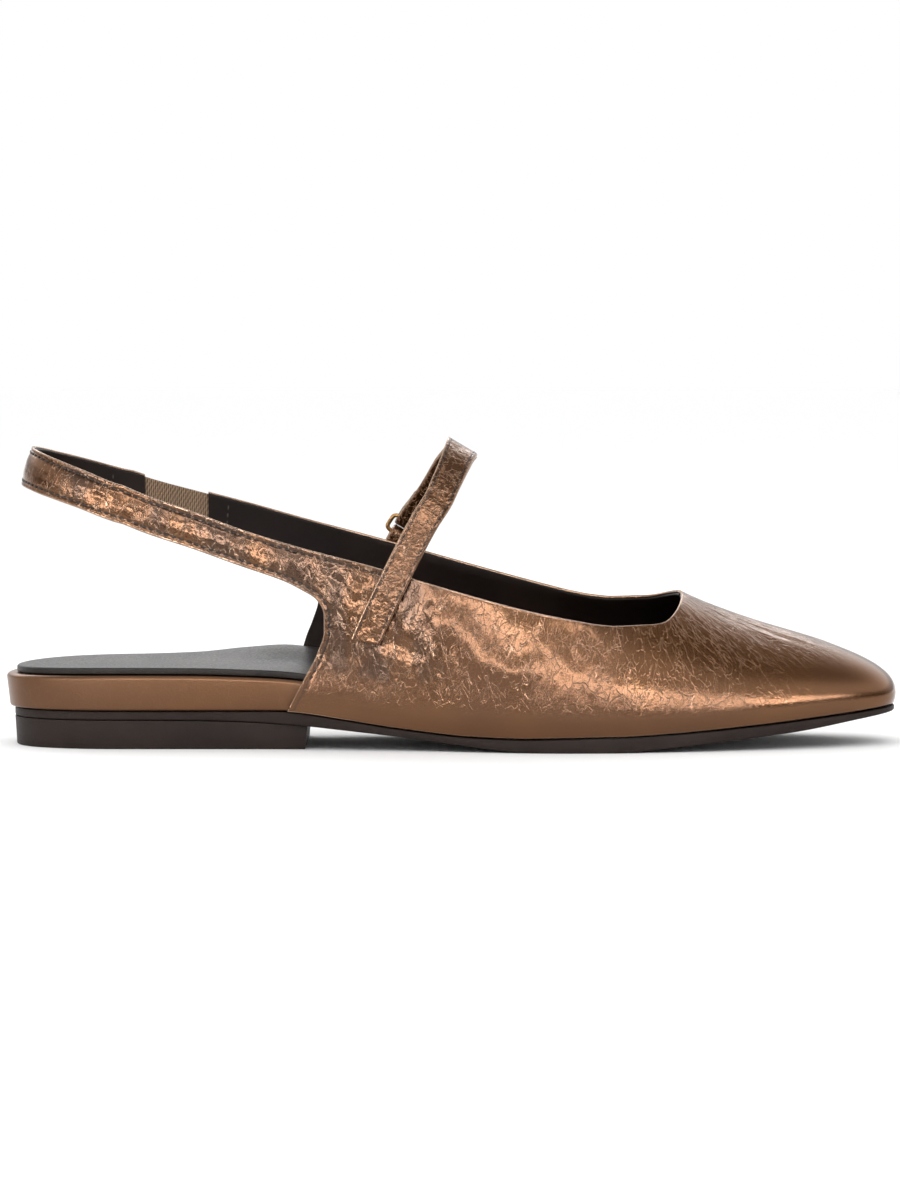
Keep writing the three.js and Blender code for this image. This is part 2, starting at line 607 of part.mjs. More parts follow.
// Point and outward direction of the last at a length x, at degrees round the section from the outer side
function placeAt(x, degrees) {
  const inner = degrees > 90;
  const angle = ((inner ? 180 - degrees : degrees) * Math.PI) / 180;
  const ring = inner ? 6 - ringAt(x) : ringAt(x);
  const height = crown(x) - feather(x);
  const sideways = Math.pow(Math.cos(angle), 2 / SECTION_POWER);
  const upwards = Math.pow(Math.sin(angle), 2 / SECTION_POWER);
  const outY = ((inner ? 1 : -1) * Math.pow(sideways, SECTION_POWER - 1)) / halfWidth(x);
  const outZ = Math.pow(upwards, SECTION_POWER - 1) / height;
  return { point: lastPoint(ring, angle), out: new THREE.Vector3(0, outY, outZ).normalize() };
}

const strapPlace = (degrees) => placeAt(strapAlong(degrees) * LENGTH, degrees);

// Direction of the strap, its outward normal made square to it, and the direction across it
function strapFrame(degrees) {
  const step = 0.5;
  const here = strapPlace(degrees);
  const along = strapPlace(degrees + step).point.sub(strapPlace(degrees - step).point).normalize();
  const across = new THREE.Vector3().crossVectors(along, here.out).normalize();
  const out = new THREE.Vector3().crossVectors(across, along).normalize();
  return { point: here.point, along, across, out };
}

// Point of the last nearest to a point, searched round the section of that point's own length
function nearestOnLast(target, degrees) {
  let low = degrees - 9;
  let high = degrees + 9;
  for (let i = 0; i < 30; i += 1) {
    const third = (high - low) / 3;
    const nearer = placeAt(target.x, low + third).point.distanceTo(target);
    if (nearer < placeAt(target.x, high - third).point.distanceTo(target)) high -= third;
    else low += third;
  }
  return placeAt(target.x, (low + high) / 2);
}

const acrossShares = [-1, 0, 1];

// A strap from a list of stops. A stop holds its middle point with the outward and crosswise directions, and
// one that lies on the last also holds the degrees at which its edges are set down on it.
function ribbon(stops, width, thickness) {
  const sheet = (offset) =>
    stops.map(({ point, out, across, degrees }) =>
      acrossShares.map((share) => {
        const place = point.clone().addScaledVector(across, (share * width) / 2);
        if (degrees === undefined) return place.addScaledVector(out, offset);
        const ground = nearestOnLast(place, degrees);
        return ground.point.addScaledVector(ground.out, seat + offset);
      }),
    );
  return solidBetween(sheet(thickness / 2), sheet(-thickness / 2));
}

const seat = GAP + STRAP_THICKNESS / 2; // middle of a strap that lies on the last's outer face
const turnRadius = RING_WIRE / 2 + GAP + STRAP_THICKNESS / 2; // middle of a strap that turns round the wire

// Frame of the ring: its plane holds the strap's direction and the direction across it
function ringFrame() {
  const frame = strapFrame(RING_AT);
  const centre = frame.point.clone().addScaledVector(frame.out, seat + turnRadius);
  return { ...frame, centre };
}

function restingStops(from, to, count) {
  return Array.from({ length: count + 1 }, (unused, i) => {
    const degrees = from + ((to - from) * i) / count;
    return { ...strapFrame(degrees), degrees };
  });
}

// Half turn of a strap through the ring, round its bar. heading points away from the ring's middle.
function turnRound(bar, ring, heading) {
  const steps = 10;
  return Array.from({ length: steps + 1 }, (unused, i) => {
    const turn = (Math.PI * i) / steps;
    const out = ring.out.clone().multiplyScalar(Math.cos(turn)).addScaledVector(heading, Math.sin(turn));
    return { point: bar.clone().addScaledVector(out, -turnRadius), out, across: ring.across };
  });
}

const FOLD_CLOSES = 0.625; // share of a folded end over which it comes down on the strap

// The end of a strap, folded back over its own outer face
function foldedStops(from, to) {
  const steps = 5;
  const closed = STRAP_THICKNESS + GAP;
  return Array.from({ length: steps }, (unused, i) => {
    const share = (i + 1) / steps;
    const frame = strapFrame(from + (to - from) * share);
    const lift = 2 * turnRadius + (closed - 2 * turnRadius) * smooth(share / FOLD_CLOSES);
    const point = frame.point.clone().addScaledVector(frame.out, seat + lift);
    return { point, out: frame.out.clone().negate(), across: frame.across };
  });
}

// A strap that comes up to the ring from one side: heading is -1 from the top, 1 from below
function strapToRing(name, start, end, heading, count, width) {
  const ring = ringFrame();
  const away = ring.along.clone().multiplyScalar(heading);
  const bar = ring.centre.clone().addScaledVector(away, (RING_HEIGHT - RING_WIRE) / 2);
  const near = RING_AT + heading * BAR_STEP;
  const stops = restingStops(start, near, count);
  stops.push(...turnRound(bar, ring, away), ...foldedStops(near, end));
  return meshOf(name, leather, ribbon(stops, width, STRAP_THICKNESS));
}

function makeInstepStrap() {
  return strapToRing('instep_strap', STRAP_START, STRAP_RETURN_END, -1, 32, STRAP_WIDTH);
}

function makeBuckleTab() {
  return strapToRing('buckle_tab', TAB_END, TAB_RETURN_END, 1, 6, TAB_WIDTH);
}

// Ring of round wire, bent to a squared oval
function makeBuckleRing() {
  const { centre, along, across, out } = ringFrame();
  const around = 28;
  const sides = 8;
  const halfAcross = (RING_WIDTH - RING_WIRE) / 2;
  const halfAlong = (RING_HEIGHT - RING_WIRE) / 2;
  const power = 2 / RING_POWER;
  const bent = (value) => Math.sign(value) * Math.pow(Math.abs(value), power);
  const positions = [];
  const faces = [];
  for (let i = 0; i < around; i += 1) {
    const turn = (2 * Math.PI * (i + 0.5)) / around;
    const a = bent(Math.cos(turn)) * halfAcross;
    const b = bent(Math.sin(turn)) * halfAlong;
    const away = across.clone().multiplyScalar(a / halfAcross / halfAcross);
    away.addScaledVector(along, b / halfAlong / halfAlong).normalize();
    for (let j = 0; j < sides; j += 1) {
      const roll = (2 * Math.PI * j) / sides;
      const point = centre.clone().addScaledVector(across, a).addScaledVector(along, b);
      point.addScaledVector(away, (Math.cos(roll) * RING_WIRE) / 2);
      point.addScaledVector(out, (Math.sin(roll) * RING_WIRE) / 2);
      positions.push(point.x - LENGTH / 2, point.y, point.z);
      const next = (i + 1) % around;
      const side = (j + 1) % sides;
      const corner = [i * sides + j, next * sides + j, next * sides + side, i * sides + side];
      faces.push(corner[0], corner[1], corner[2], corner[0], corner[2], corner[3]);
    }
  }
  return meshOf('buckle_ring', brass, { positions, faces });
}

// Turns a mesh's faces outwards if its volume comes out negative
function facingOut(mesh) {
  const { index, attributes } = mesh.geometry;
  const corner = (i) => new THREE.Vector3().fromBufferAttribute(attributes.position, index.getX(i));
  let volume = 0;
  for (let i = 0; i < index.count; i += 3) volume += corner(i).dot(corner(i + 1).cross(corner(i + 2)));
  if (volume < 0) {
    for (let i = 0; i < index.count; i += 3) {
      const second = index.getX(i + 1);
      index.setX(i + 1, index.getX(i + 2));
      index.setX(i + 2, second);
    }
    mesh.geometry.computeVertexNormals();
  }
  return mesh;
}

const group = new THREE.Group();
const makers = [
  makeOutsole,
  makeHeelBlock,
  makeHeelWrap,
  makeInsole,
  makeUpper,
  makeGore,
  makeInstepStrap,
  makeBuckleTab,
  makeBuckleRing,
];
for (const make of makers) group.add(facingOut(make()));

export default group;
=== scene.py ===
import math

import bmesh
import bpy
import numpy as np
from mathutils import Matrix, Vector


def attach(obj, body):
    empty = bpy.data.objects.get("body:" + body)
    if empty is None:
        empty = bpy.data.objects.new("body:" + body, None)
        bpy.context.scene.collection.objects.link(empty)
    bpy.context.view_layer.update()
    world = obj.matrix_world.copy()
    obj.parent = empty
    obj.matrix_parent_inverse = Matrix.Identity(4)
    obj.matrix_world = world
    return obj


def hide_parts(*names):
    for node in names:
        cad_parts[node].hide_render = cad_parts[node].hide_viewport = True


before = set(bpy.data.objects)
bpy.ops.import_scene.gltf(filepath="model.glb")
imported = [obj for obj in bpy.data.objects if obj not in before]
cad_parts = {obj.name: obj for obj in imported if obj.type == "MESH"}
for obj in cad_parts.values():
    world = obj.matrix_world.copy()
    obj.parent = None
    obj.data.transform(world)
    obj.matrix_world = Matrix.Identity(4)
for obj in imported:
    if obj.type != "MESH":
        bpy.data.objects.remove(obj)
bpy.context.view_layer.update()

# A right sling back flat in bronze crinkled leather. Sizes are in millimetres and become metres in each mesh.
MM = 0.001

# Sizes of the shoe in millimetres. The powers and the blend and ease of the throat are plain numbers.
LENGTH = 262.0
BALL_WIDTH = 80.0
INSTEP_HEIGHT = 88.5
HEEL_LIFT = 8.5
TOE_SPRING = 9.8
SOLE_EDGE = 4.0
PLATFORM = 10.0
WALL = 1.8
TUCK = 1.8
TUCK_FADE = 4.0
SOCK = 1.9
SOCK_MARGIN = 3.0
ARCH_PAD = 5.0
HEEL_MARGIN = 2.4
HEEL_DRAFT = 0.5
PLATFORM_DRAFT = 0.9
BREAST_AT = LENGTH * 0.34
SLING_WIDTH = 10.2
GORE_START = LENGTH * 0.1504
GORE_END = LENGTH * 0.2229
GORE_THICKNESS = 1.0
GORE_STEP = 0.6
GORE_TUCKED = 1.0
GORE_RIB_PITCH = 0.7
GORE_RIB_HEIGHT = 0.05
STRAP_WIDTH = 8.5
STRAP_THICKNESS = 1.6
STRAP_TOP_LAYER = 0.95
TAB_WIDTH = 7.2
RING_WIRE = 1.3
RING_WIDTH = 12.0
RING_HEIGHT = 6.6
RING_POWER = 5.0
THROAT_REACH = LENGTH * 0.0794
THROAT_OUTER_POWER = 3.0
THROAT_INNER_POWER = 2.0
THROAT_BLEND = 0.04
THROAT_EASE = 8.0
GAP = 0.3
LEATHER = 1.0  # thickness of the outer leather within the wall
STITCH_PITCH = 2.3
STITCH_LENGTH = 1.7
STITCH_WIDTH = 0.62
STITCH_INSET = 1.6
STRAP_STITCH_PITCH = 2.2
STRAP_STITCH_WIDTH = 0.38
STRAP_STITCH_INSET = 1.15

# Shape of the last. The powers are those of its rounded sections.
SECTION_POWER = 2.2
HEEL_POWER = 2.3
TOE_POWER = 3.2
TOP_POWER = 3.1
HEEL_CENTRE = LENGTH * 0.1375
TOE_CENTRE = LENGTH * 0.6795
TOE_TOP = LENGTH * 0.9084
HEEL_OVERHANG = WALL + GAP
PLATFORM_END = 0.603  # share of LENGTH

# Places of strap, ring and tab, in degrees round the last from the outer side
STRAP_START = 12.5
RING_AT = 145.2
TAB_END = 155.5
STRAP_RETURN_END = 134.5
TAB_RETURN_END = 150.5
BAR_STEP = 3.4

SEAT = GAP + STRAP_THICKNESS / 2  # from the last to the middle of the strap
TURN_RADIUS = RING_WIRE / 2 + GAP + STRAP_THICKNESS / 2  # of the middle of the strap round a bar of the ring
# Creases across the instep strap: length from its start, depth and width
STRAP_CREASES = ((44.0, 0.1, 0.6), (30.0, 0.05, 1.0))

# How the meshes are made
STRAP_COLUMNS = 17
FAR = 9.0  # an edge distance in millimetres at which the edge no longer shows
EDGE_SEARCH = 45  # lines to both sides in which the nearest part of an edge is looked for
SEAM_REACH = 2e-6
SHARP_ANGLE = math.radians(50)

# Rows from heel to toe: shares of LENGTH, half widths as shares of BALL_WIDTH, crown as one of INSTEP_HEIGHT,
# and the share of TUCK by which the foot of the wall is drawn in.
LAST = {
    "at": (0, 0.1375, 0.267, 0.344, 0.42, 0.51, 0.573, 0.63, 0.6795, 0.725, 0.7825, 0.84, 0.893, 0.954, 1),
    "outer": (
        0.366, 0.366, 0.368, 0.372, 0.398, 0.452, 0.494, 0.51, 0.505, 0.48, 0.442, 0.4, 0.358, 0.315, 0.285,
    ),
    "inner": (
        0.358, 0.358, 0.348, 0.33, 0.326, 0.352, 0.396, 0.444, 0.474, 0.491, 0.492, 0.476, 0.452, 0.424, 0.4,
    ),
    "crown": (
        1.33, 1.33, 1.29, 1.232, 1.147, 0.976, 0.87, 0.742, 0.638, 0.558, 0.473, 0.409, 0.363, 0.304, 0.266,
    ),
    "tuck": (0, 0, 0, 0.12, 0.4, 0.7, 0.85, 0.9, 0.95, 1, 1, 1, 1, 1, 1),
}
# Rows of the bottom, as shares. heel and toe: underside, of HEEL_LIFT and TOE_SPRING. edge: of SOLE_EDGE.
# wedge: of PLATFORM. pad: of ARCH_PAD.
BOTTOM = {
    "at": (
        0, 0.1375, 0.21, 0.267, 0.325, 0.382, 0.439, 0.496, 0.553, 0.59, 0.64, 0.68,
        0.74, 0.809, 0.889, 0.954, 1,
    ),
    "heel": (1, 1, 0.99, 0.95, 0.85, 0.69, 0.5, 0.28, 0.08, 0, 0, 0, 0, 0, 0, 0, 0),
    "toe": (0, 0, 0, 0, 0, 0, 0, 0, 0, 0, 0, 0, 0.12, 0.31, 0.54, 0.82, 1),
    "edge": (0.63, 0.63, 0.66, 0.75, 0.9, 0.7, 0.53, 0.56, 0.79, 0.93, 1, 1.05, 0.93, 0.81, 0.73, 0.48, 0.36),
    "wedge": (1, 1.05, 1.04, 1, 0.94, 0.89, 0.75, 0.5, 0.27, 0.17, 0.05, 0, 0, 0, 0, 0, 0),
    "pad": (0.12, 0.18, 0.32, 0.7, 1, 1, 0.8, 0.4, 0.1, 0, 0, 0, 0, 0, 0, 0, 0),
}
# Top edge of the sling round the heel and topline of both sides, as shares of INSTEP_HEIGHT
SLING_TOP = {
    "at": (0, 0.25, 0.5, 0.75, 1),
    "outer": (0.99, 0.98, 0.958, 0.923, 0.867),
    "inner": (0.99, 0.983, 0.965, 0.938, 0.9),
}
TOPLINE = {
    "at": (0.1375, 0.161, 0.211, 0.269, 0.333, 0.42, 0.502, 0.586, 0.64, 0.66, 0.6795),
    "outer": (0.867, 0.837, 0.786, 0.723, 0.665, 0.598, 0.527, 0.462, 0.43, 0.4195, 0.4135),
    "inner": (0.9, 0.877, 0.837, 0.792, 0.739, 0.671, 0.602, 0.532, 0.491, 0.48, 0.474),
}
# Lines of the sling and the quarter: (low, top, drop, rise). low and top: where both ends are, as shares of
# LENGTH. Height of the low end: drop under the topline in sling widths, or rise as a share of the wall.
OUTER_EDGE = (
    (0.1375, 0.1375, 1.1, None),
    (0.222, 0.229, 1.06, None),
    (0.268, 0.284, 1.05, None),
    (0.311, 0.336, 1.08, None),
    (0.333, 0.366, 1.19, None),
    (0.35, 0.39, None, 0.71),
    (0.359, 0.409, None, 0.62),
    (0.359, 0.425, None, 0.52),
    (0.351, 0.443, None, 0.37),
    (0.338, 0.462, None, 0.22),
    (0.318, 0.482, None, 0),
)
INNER_EDGE = (
    (0.2229, 0.2229, 1.04, None),
    (0.268, 0.276, 1.05, None),
    (0.305, 0.325, 1.12, None),
    (0.333, 0.362, 1.34, None),
    (0.345, 0.388, None, 0.66),
    (0.3475, 0.407, None, 0.56),
    (0.341, 0.425, None, 0.44),
    (0.3335, 0.443, None, 0.34),
    (0.325, 0.462, None, 0.18),
    (0.318, 0.482, None, 0),
)
# Path of the strap: degrees round the last from the outer side, and share of LENGTH
STRAP_PATH = {
    "at": (12.5, 27, 41, 52, 74, 90, 105, 118, 130, 142, 156),
    "along": (0.405, 0.441, 0.4695, 0.4885, 0.5075, 0.513, 0.509, 0.4955, 0.4795, 0.455, 0.42),
}


def curve(at, values):
    """A smooth curve through values, given where each of them is. It never overshoots them."""
    xs = np.array(at, float)
    ys = np.array(values, float)
    steps = np.diff(ys) / np.diff(xs)
    slopes = np.empty_like(ys)
    slopes[0] = steps[0]
    slopes[-1] = steps[-1]
    before, after = steps[:-1], steps[1:]
    total = np.where(before + after == 0, 1, before + after)
    slopes[1:-1] = np.where(before * after <= 0, 0, 2 * before * after / total)

    def value(x):
        x = np.clip(x, xs[0], xs[-1])
        i = np.clip(np.searchsorted(xs, x, side="left") - 1, 0, len(xs) - 2)
        width = xs[i + 1] - xs[i]
        t = (x - xs[i]) / width
        u = 1 - t
        start = ys[i] * (1 + 2 * t) * u * u + slopes[i] * width * t * u * u
        return start + ys[i + 1] * t * t * (1 + 2 * u) - slopes[i + 1] * width * t * t * u

    return value


def column(table, name):
    """Smooth curve through one row of numbers of a table."""
    return curve(table["at"], table[name])


def smooth(t):
    t = np.clip(t, 0, 1)
    return t * t * (3 - 2 * t)


last_outer, last_inner = column(LAST, "outer"), column(LAST, "inner")
last_crown, last_tuck = column(LAST, "crown"), column(LAST, "tuck")
sole_heel, sole_toe, sole_edge = column(BOTTOM, "heel"), column(BOTTOM, "toe"), column(BOTTOM, "edge")
wedge_share, pad_share = column(BOTTOM, "wedge"), column(BOTTOM, "pad")
sling_tops = {False: column(SLING_TOP, "outer"), True: column(SLING_TOP, "inner")}
toplines = {False: column(TOPLINE, "outer"), True: column(TOPLINE, "inner")}
strap_along = column(STRAP_PATH, "along")
HEEL_REACH = HEEL_CENTRE + HEEL_OVERHANG
TOE_REACH = LENGTH + TUCK * 0.75 - TOE_CENTRE


def middle(x):
    """How far the middle line lies to the inner side at a length x."""
    return BALL_WIDTH * (last_inner(x / LENGTH) - last_outer(x / LENGTH)) / 2


def half_width(x):
    return BALL_WIDTH * (last_inner(x / LENGTH) + last_outer(x / LENGTH)) / 2


def under(x):
    """Height of the sole's underside."""
    return HEEL_LIFT * sole_heel(x / LENGTH) + TOE_SPRING * sole_toe(x / LENGTH)


def feather(x):
    """Height of the feather line, where the upper meets the sole."""
    return under(x) + SOLE_EDGE * sole_edge(x / LENGTH) + GAP


def rounding(share, power):
    """Quarter of a rounded square: 1 at share 0 and under it, 0 at share 1."""
    return np.maximum(1 - np.maximum(share, 0) ** power, 0) ** (1 / power)


def crown(x):
    """Height of the last's top."""
    fall = rounding((x - TOE_TOP) / (TOE_CENTRE + TOE_REACH - TOE_TOP), TOP_POWER)
    return feather(x) + (INSTEP_HEIGHT * last_crown(x / LENGTH) - feather(x)) * fall


def ring_at(x):
    """Ring place on the outer side at a length x."""
    return 1 + (x - HEEL_CENTRE) / (TOE_CENTRE - HEEL_CENTRE)


def fold(ring):
    """Ring place of the same spot on the outer side."""
    return np.where(ring < 0, -ring, np.where(ring <= 3, ring, 6 - ring))


def last_points(ring, angle):
    """Points of the last, in millimetres from the back of the shoe.

    ring: 0 at the back, 1 to 2 outer side, 3 toe, 4 to 5 inner side, under 0 from the back to the inner side.
    angle: 0 at the feather, a right angle on top."""
    ring, angle = np.broadcast_arrays(np.asarray(ring, float), np.asarray(angle, float))
    u = fold(ring)
    side = np.where((ring < 0) | (ring > 3), 1.0, -1.0)
    share = np.cos(angle) ** (2 / SECTION_POWER)
    turn = np.where(u < 1, 1 - u, np.clip(u - 2, 0, 1)) * math.pi / 2
    sin, cos = np.sin(turn), np.maximum(np.cos(turn), 0)
    heel, toe = u < 1, u > 2
    power = np.where(heel, 2 / HEEL_POWER, 2 / TOE_POWER)
    forward, sideways = sin**power, cos**power
    rim = np.where(toe, TOE_CENTRE + TOE_REACH * forward, 0)
    x_side = HEEL_CENTRE + (TOE_CENTRE - HEEL_CENTRE) * (u - 1)
    x = np.where(heel, HEEL_CENTRE - HEEL_REACH * forward * share, x_side)
    x = np.where(toe, TOE_CENTRE + TOE_REACH * forward * share, x)
    width_at = np.where(heel, HEEL_CENTRE, np.where(toe, rim, x_side))
    spread = half_width(width_at) * np.where(heel | toe, sideways, 1) * share
    reach = np.where(toe, forward ** (TOE_POWER - 1) / TOE_REACH, 0)
    across = np.where(toe, sideways ** (TOE_POWER - 1) / half_width(width_at), 1)
    full = half_width(x) * rounding((x - TOE_CENTRE) / TOE_REACH, TOE_POWER)
    level = np.where(toe, spread / np.maximum(full, 1e-9), share)
    level = np.where(angle > 0, level, 1)
    low = feather(x)
    z = low + (crown(x) - low) * rounding(level, SECTION_POWER)
    pull = TUCK * last_tuck(x / LENGTH) * np.exp(-(z - low) / TUCK_FADE) / np.hypot(reach, across)
    return np.stack([x - pull * reach, middle(x) + side * (spread - pull * across), z], -1)


def angle_at(x, height):
    """Angle at which the last's side at x has a height."""
    share = np.clip((height - feather(x)) / (crown(x) - feather(x)), 0, 1)
    return np.arcsin(share ** (SECTION_POWER / 2))


def topline_at(x, inner):
    return INSTEP_HEIGHT * toplines[inner](x / LENGTH)


def level_angle(ring, height):
    """Angle at which the last has a height, at any ring place."""
    low, high = 0.0, math.pi / 2
    for unused in range(30):
        half = (low + high) / 2
        if last_points(ring, half)[2] < height:
            low = half
        else:
            high = half
    return (low + high) / 2


def throat_angle(ring):
    """Angle of the vamp's top edge: an oval that blends into a level line at both sides."""
    inner = ring > 3
    turn = math.pi / 2 * min(float(fold(ring)) - 2, 1)
    forward = math.sin(turn) ** (2 / TOE_POWER)
    sideways = max(math.cos(turn), 0) ** (2 / TOE_POWER)
    rim = TOE_CENTRE + TOE_REACH * forward
    start = math.cos(angle_at(TOE_CENTRE, topline_at(TOE_CENTRE, inner)))
    throat_half = half_width(TOE_CENTRE) * start ** (2 / SECTION_POWER)
    power = THROAT_INNER_POWER if inner else THROAT_OUTER_POWER
    ahead = (TOE_REACH * forward / THROAT_REACH) ** power
    beside = (half_width(rim) * sideways / throat_half) ** power
    oval = math.acos((ahead + beside) ** (-1 / power * SECTION_POWER / 2))
    level = level_angle(ring, topline_at(TOE_CENTRE, inner))
    blend = THROAT_BLEND * min(forward * THROAT_EASE, 1)
    return (oval + level + math.hypot(oval - level, blend)) / 2


def side_line(low_x, top_x, low_height, inner):
    """A line up the side to the topline: ring at both ends, then angle at both ends."""
    rings = [6 - ring_at(x) if inner else ring_at(x) for x in (low_x, top_x)]
    return rings + [angle_at(low_x, low_height), angle_at(top_x, topline_at(top_x, inner))]


def sling_line(ring):
    """A line up the sling where it goes round the heel."""
    inner = ring < 0
    top = INSTEP_HEIGHT * sling_tops[bool(inner)](abs(ring))
    drop = (INNER_EDGE if inner else OUTER_EDGE)[0][2] * SLING_WIDTH
    return [ring, ring, angle_at(HEEL_CENTRE, top - drop), angle_at(HEEL_CENTRE, top)]


def quarter_lines(table, inner, between, ahead):
    """Lines of a quarter, each from its low edge up to the topline, as ring and angle at both ends."""
    places = range(len(table))
    falls = []
    for low, unused, drop, rise in table:
        x = low * LENGTH
        span = topline_at(x, inner) - feather(x)
        falls.append(drop * SLING_WIDTH / span if rise is None else 1 - rise)
    low_at = curve(places, [row[0] for row in table])
    top_at = curve(places, [row[1] for row in table])
    fall_at = curve(places, falls)
    lines = []
    steps = (len(table) - 1) * between
    for i in range(steps + 1):
        at = i / between
        x = low_at(at) * LENGTH
        top = topline_at(x, inner)
        height = feather(x) if i == steps else top - fall_at(at) * (top - feather(x))
        lines.append(side_line(x, top_at(at) * LENGTH, height, inner))
    starts = np.array([table[-1][0], table[-1][1]]) * LENGTH
    for i in range(1, ahead):
        low_x, top_x = starts + (TOE_CENTRE - starts) * i / ahead
        lines.append(side_line(low_x, top_x, feather(low_x), inner))
    return lines


def even_turn(share):
    """Share of the turn round a quarter of the squared toe, in steps of even length."""
    power = TOE_POWER / 2
    return share**power / (share**power + (1 - share) ** power)


def upper_lines(fine):
    """The upper as one band: the sling from its inner end, round the heel, outer side, toe and inner side."""
    height = topline_at(GORE_START, True) - SLING_WIDTH * INNER_EDGE[0][2]
    end = side_line(GORE_START, GORE_START, height, True)
    lines = [[-ring_at(GORE_START)] * 2 + end[2:]]
    round_heel = 20 * fine
    lines += [sling_line(-1 + 2 * i / round_heel) for i in range(round_heel)]
    lines += quarter_lines(OUTER_EDGE, False, 3 * fine, 14 * fine)
    count = 36 * fine
    for i in range(count + 1):
        share = 2 * i / count
        ring = 2 + even_turn(share) if share < 1 else 4 - even_turn(2 - share)
        lines.append([ring, ring, 0, throat_angle(ring)])
    lines += quarter_lines(INNER_EDGE, True, 3 * fine, 14 * fine)[::-1]
    return np.array(lines, float)


# Main creases of the upper, each a soft trough with a ridge beside it. Side, then along and up at both ends:
# along in millimetres from the back, up as a share of the wall's height, then depth and width in millimetres.
# A depth under zero turns it over: a ridge with a trough beside it.
CREASES = (
    ("outer", 123, 0.78, 157, 0.44, -0.42, 4.4),
    ("outer", 103, 0.6, 122, 0.52, 0.3, 3.0),
    ("outer", 24, 0.5, 33, 0.4, 0.3, 2.4),
    ("outer", 36, 0.62, 45, 0.42, 0.34, 2.6),
    ("outer", 52, 0.5, 62, 0.4, 0.28, 2.4),
    ("outer", 71, 0.55, 80, 0.45, 0.26, 2.4),
    ("outer", 128, 0.93, 124, 0.62, 0.28, 1.3),
    ("outer", 133, 0.95, 131, 0.52, 0.3, 1.4),
    ("outer", 139, 0.9, 141, 0.58, 0.26, 1.2),
    ("outer", 144, 0.95, 148, 0.5, 0.32, 1.5),
    ("outer", 151, 0.88, 153, 0.56, 0.24, 1.2),
    ("outer", 156, 0.93, 161, 0.48, 0.3, 1.4),
    ("outer", 163, 0.9, 168, 0.55, 0.26, 1.3),
    ("outer", 169, 0.95, 176, 0.6, 0.28, 1.4),
    ("outer", 112, 0.62, 122, 0.5, 0.28, 1.6),
    ("outer", 99, 0.78, 106, 0.66, 0.26, 1.4),
    ("outer", 96, 0.62, 104, 0.52, 0.22, 1.4),
    ("outer", 92, 0.8, 97, 0.7, 0.24, 1.3),
    ("outer", 84, 0.86, 89, 0.76, 0.22, 1.2),
    ("inner", 120, 0.9, 124, 0.6, 0.26, 1.5),
    ("inner", 132, 0.92, 136, 0.55, 0.28, 1.4),
    ("inner", 143, 0.9, 149, 0.52, 0.26, 1.4),
    ("inner", 155, 0.93, 160, 0.55, 0.28, 1.5),
    ("inner", 166, 0.92, 172, 0.58, 0.26, 1.4),
    ("inner", 124, 0.42, 146, 0.3, 0.28, 2.2),
    ("inner", 98, 0.72, 108, 0.6, 0.24, 1.5),
    ("inner", 62, 0.9, 66, 0.82, 0.2, 1.2),
    ("outer", 56, 0.93, 61, 0.84, 0.24, 1.1),
    ("outer", 66, 0.92, 70, 0.83, 0.22, 1.1),
    ("outer", 46, 0.95, 50, 0.86, 0.24, 1.1),
)
# Creases of the vamp, lengthwise: from and to as ring places with shares of the way up to the throat
VAMP_CREASES = (
    (2.42, 0.96, 2.46, 0.62, 0.22, 1.4),
    (2.6, 0.97, 2.63, 0.6, 0.24, 1.4),
    (2.78, 0.96, 2.8, 0.66, 0.2, 1.3),
    (2.95, 0.97, 2.94, 0.58, 0.22, 1.4),
    (3.12, 0.96, 3.1, 0.64, 0.2, 1.3),
    (3.3, 0.97, 3.26, 0.6, 0.24, 1.4),
    (3.52, 0.96, 3.46, 0.66, 0.2, 1.4),
)


def wrinkle(distance, width):
    """Cross section of a crease: a trough with a lower ridge on its far side."""
    t = distance / width
    return -np.exp(-t * t) + 0.55 * np.exp(-((t - 1.5) ** 2))


def side_crease(points, up, mask, crease):
    """Outward height of a slightly waved crease on the side that the mask picks."""
    x0, up0, x1, up1, depth, width = crease
    ends = []
    for x, rise in ((x0, up0), (x1, up1)):
        away = np.abs(points[..., 0] - x) + 60 * np.abs(up - rise) + 1000 * ~mask
        ends.append(points[np.unravel_index(np.argmin(away), away.shape)])
    line = ends[1] - ends[0]
    t = np.clip((points - ends[0]) @ line / np.linalg.norm(line) ** 2, 0, 1)
    nearest = ends[0] + t[..., None] * line
    gap = np.linalg.norm(points - nearest, axis=-1)
    sign = np.sign((points[..., 0] - nearest[..., 0]) + 1e-6)
    wave = np.sin(t * 7 + x0) * width * 0.45
    fade = smooth((1 - np.abs(2 * t - 1)) * 2.2) * (gap < 5 * width) * mask
    return depth * wrinkle(gap * sign + wave, width) * fade


def vamp_crease(ring, up, crease):
    """Outward height of a slightly waved crease that runs from the throat down the vamp."""
    ring0, up0, ring1, up1, depth, width = crease
    t = np.clip((up - up0) / (up1 - up0), 0, 1)
    centre = ring0 + (ring1 - ring0) * t
    ring_step = 34.0 * (1.15 - up * 0.55)  # millimetres across the vamp for a step of 1 in ring
    gap = (ring - centre) * ring_step + np.sin(t * 6 + ring0 * 9) * 0.6
    inside = (up > up1) & (up < up0 + 0.02)
    fade = smooth((1 - np.abs(2 * t - 1)) * 2.4) * inside
    return depth * wrinkle(gap, width) * fade


def crease_field(points, ring, up):
    """Outward height of the listed creases at points of the band, in millimetres."""
    height = np.zeros(ring.shape)
    inner = (ring < 0) | (ring > 3)
    for side, *crease in CREASES:
        height += side_crease(points, up, inner if side == "inner" else ~inner, crease)
    for crease in VAMP_CREASES:
        height += vamp_crease(ring, up, crease)
    return height


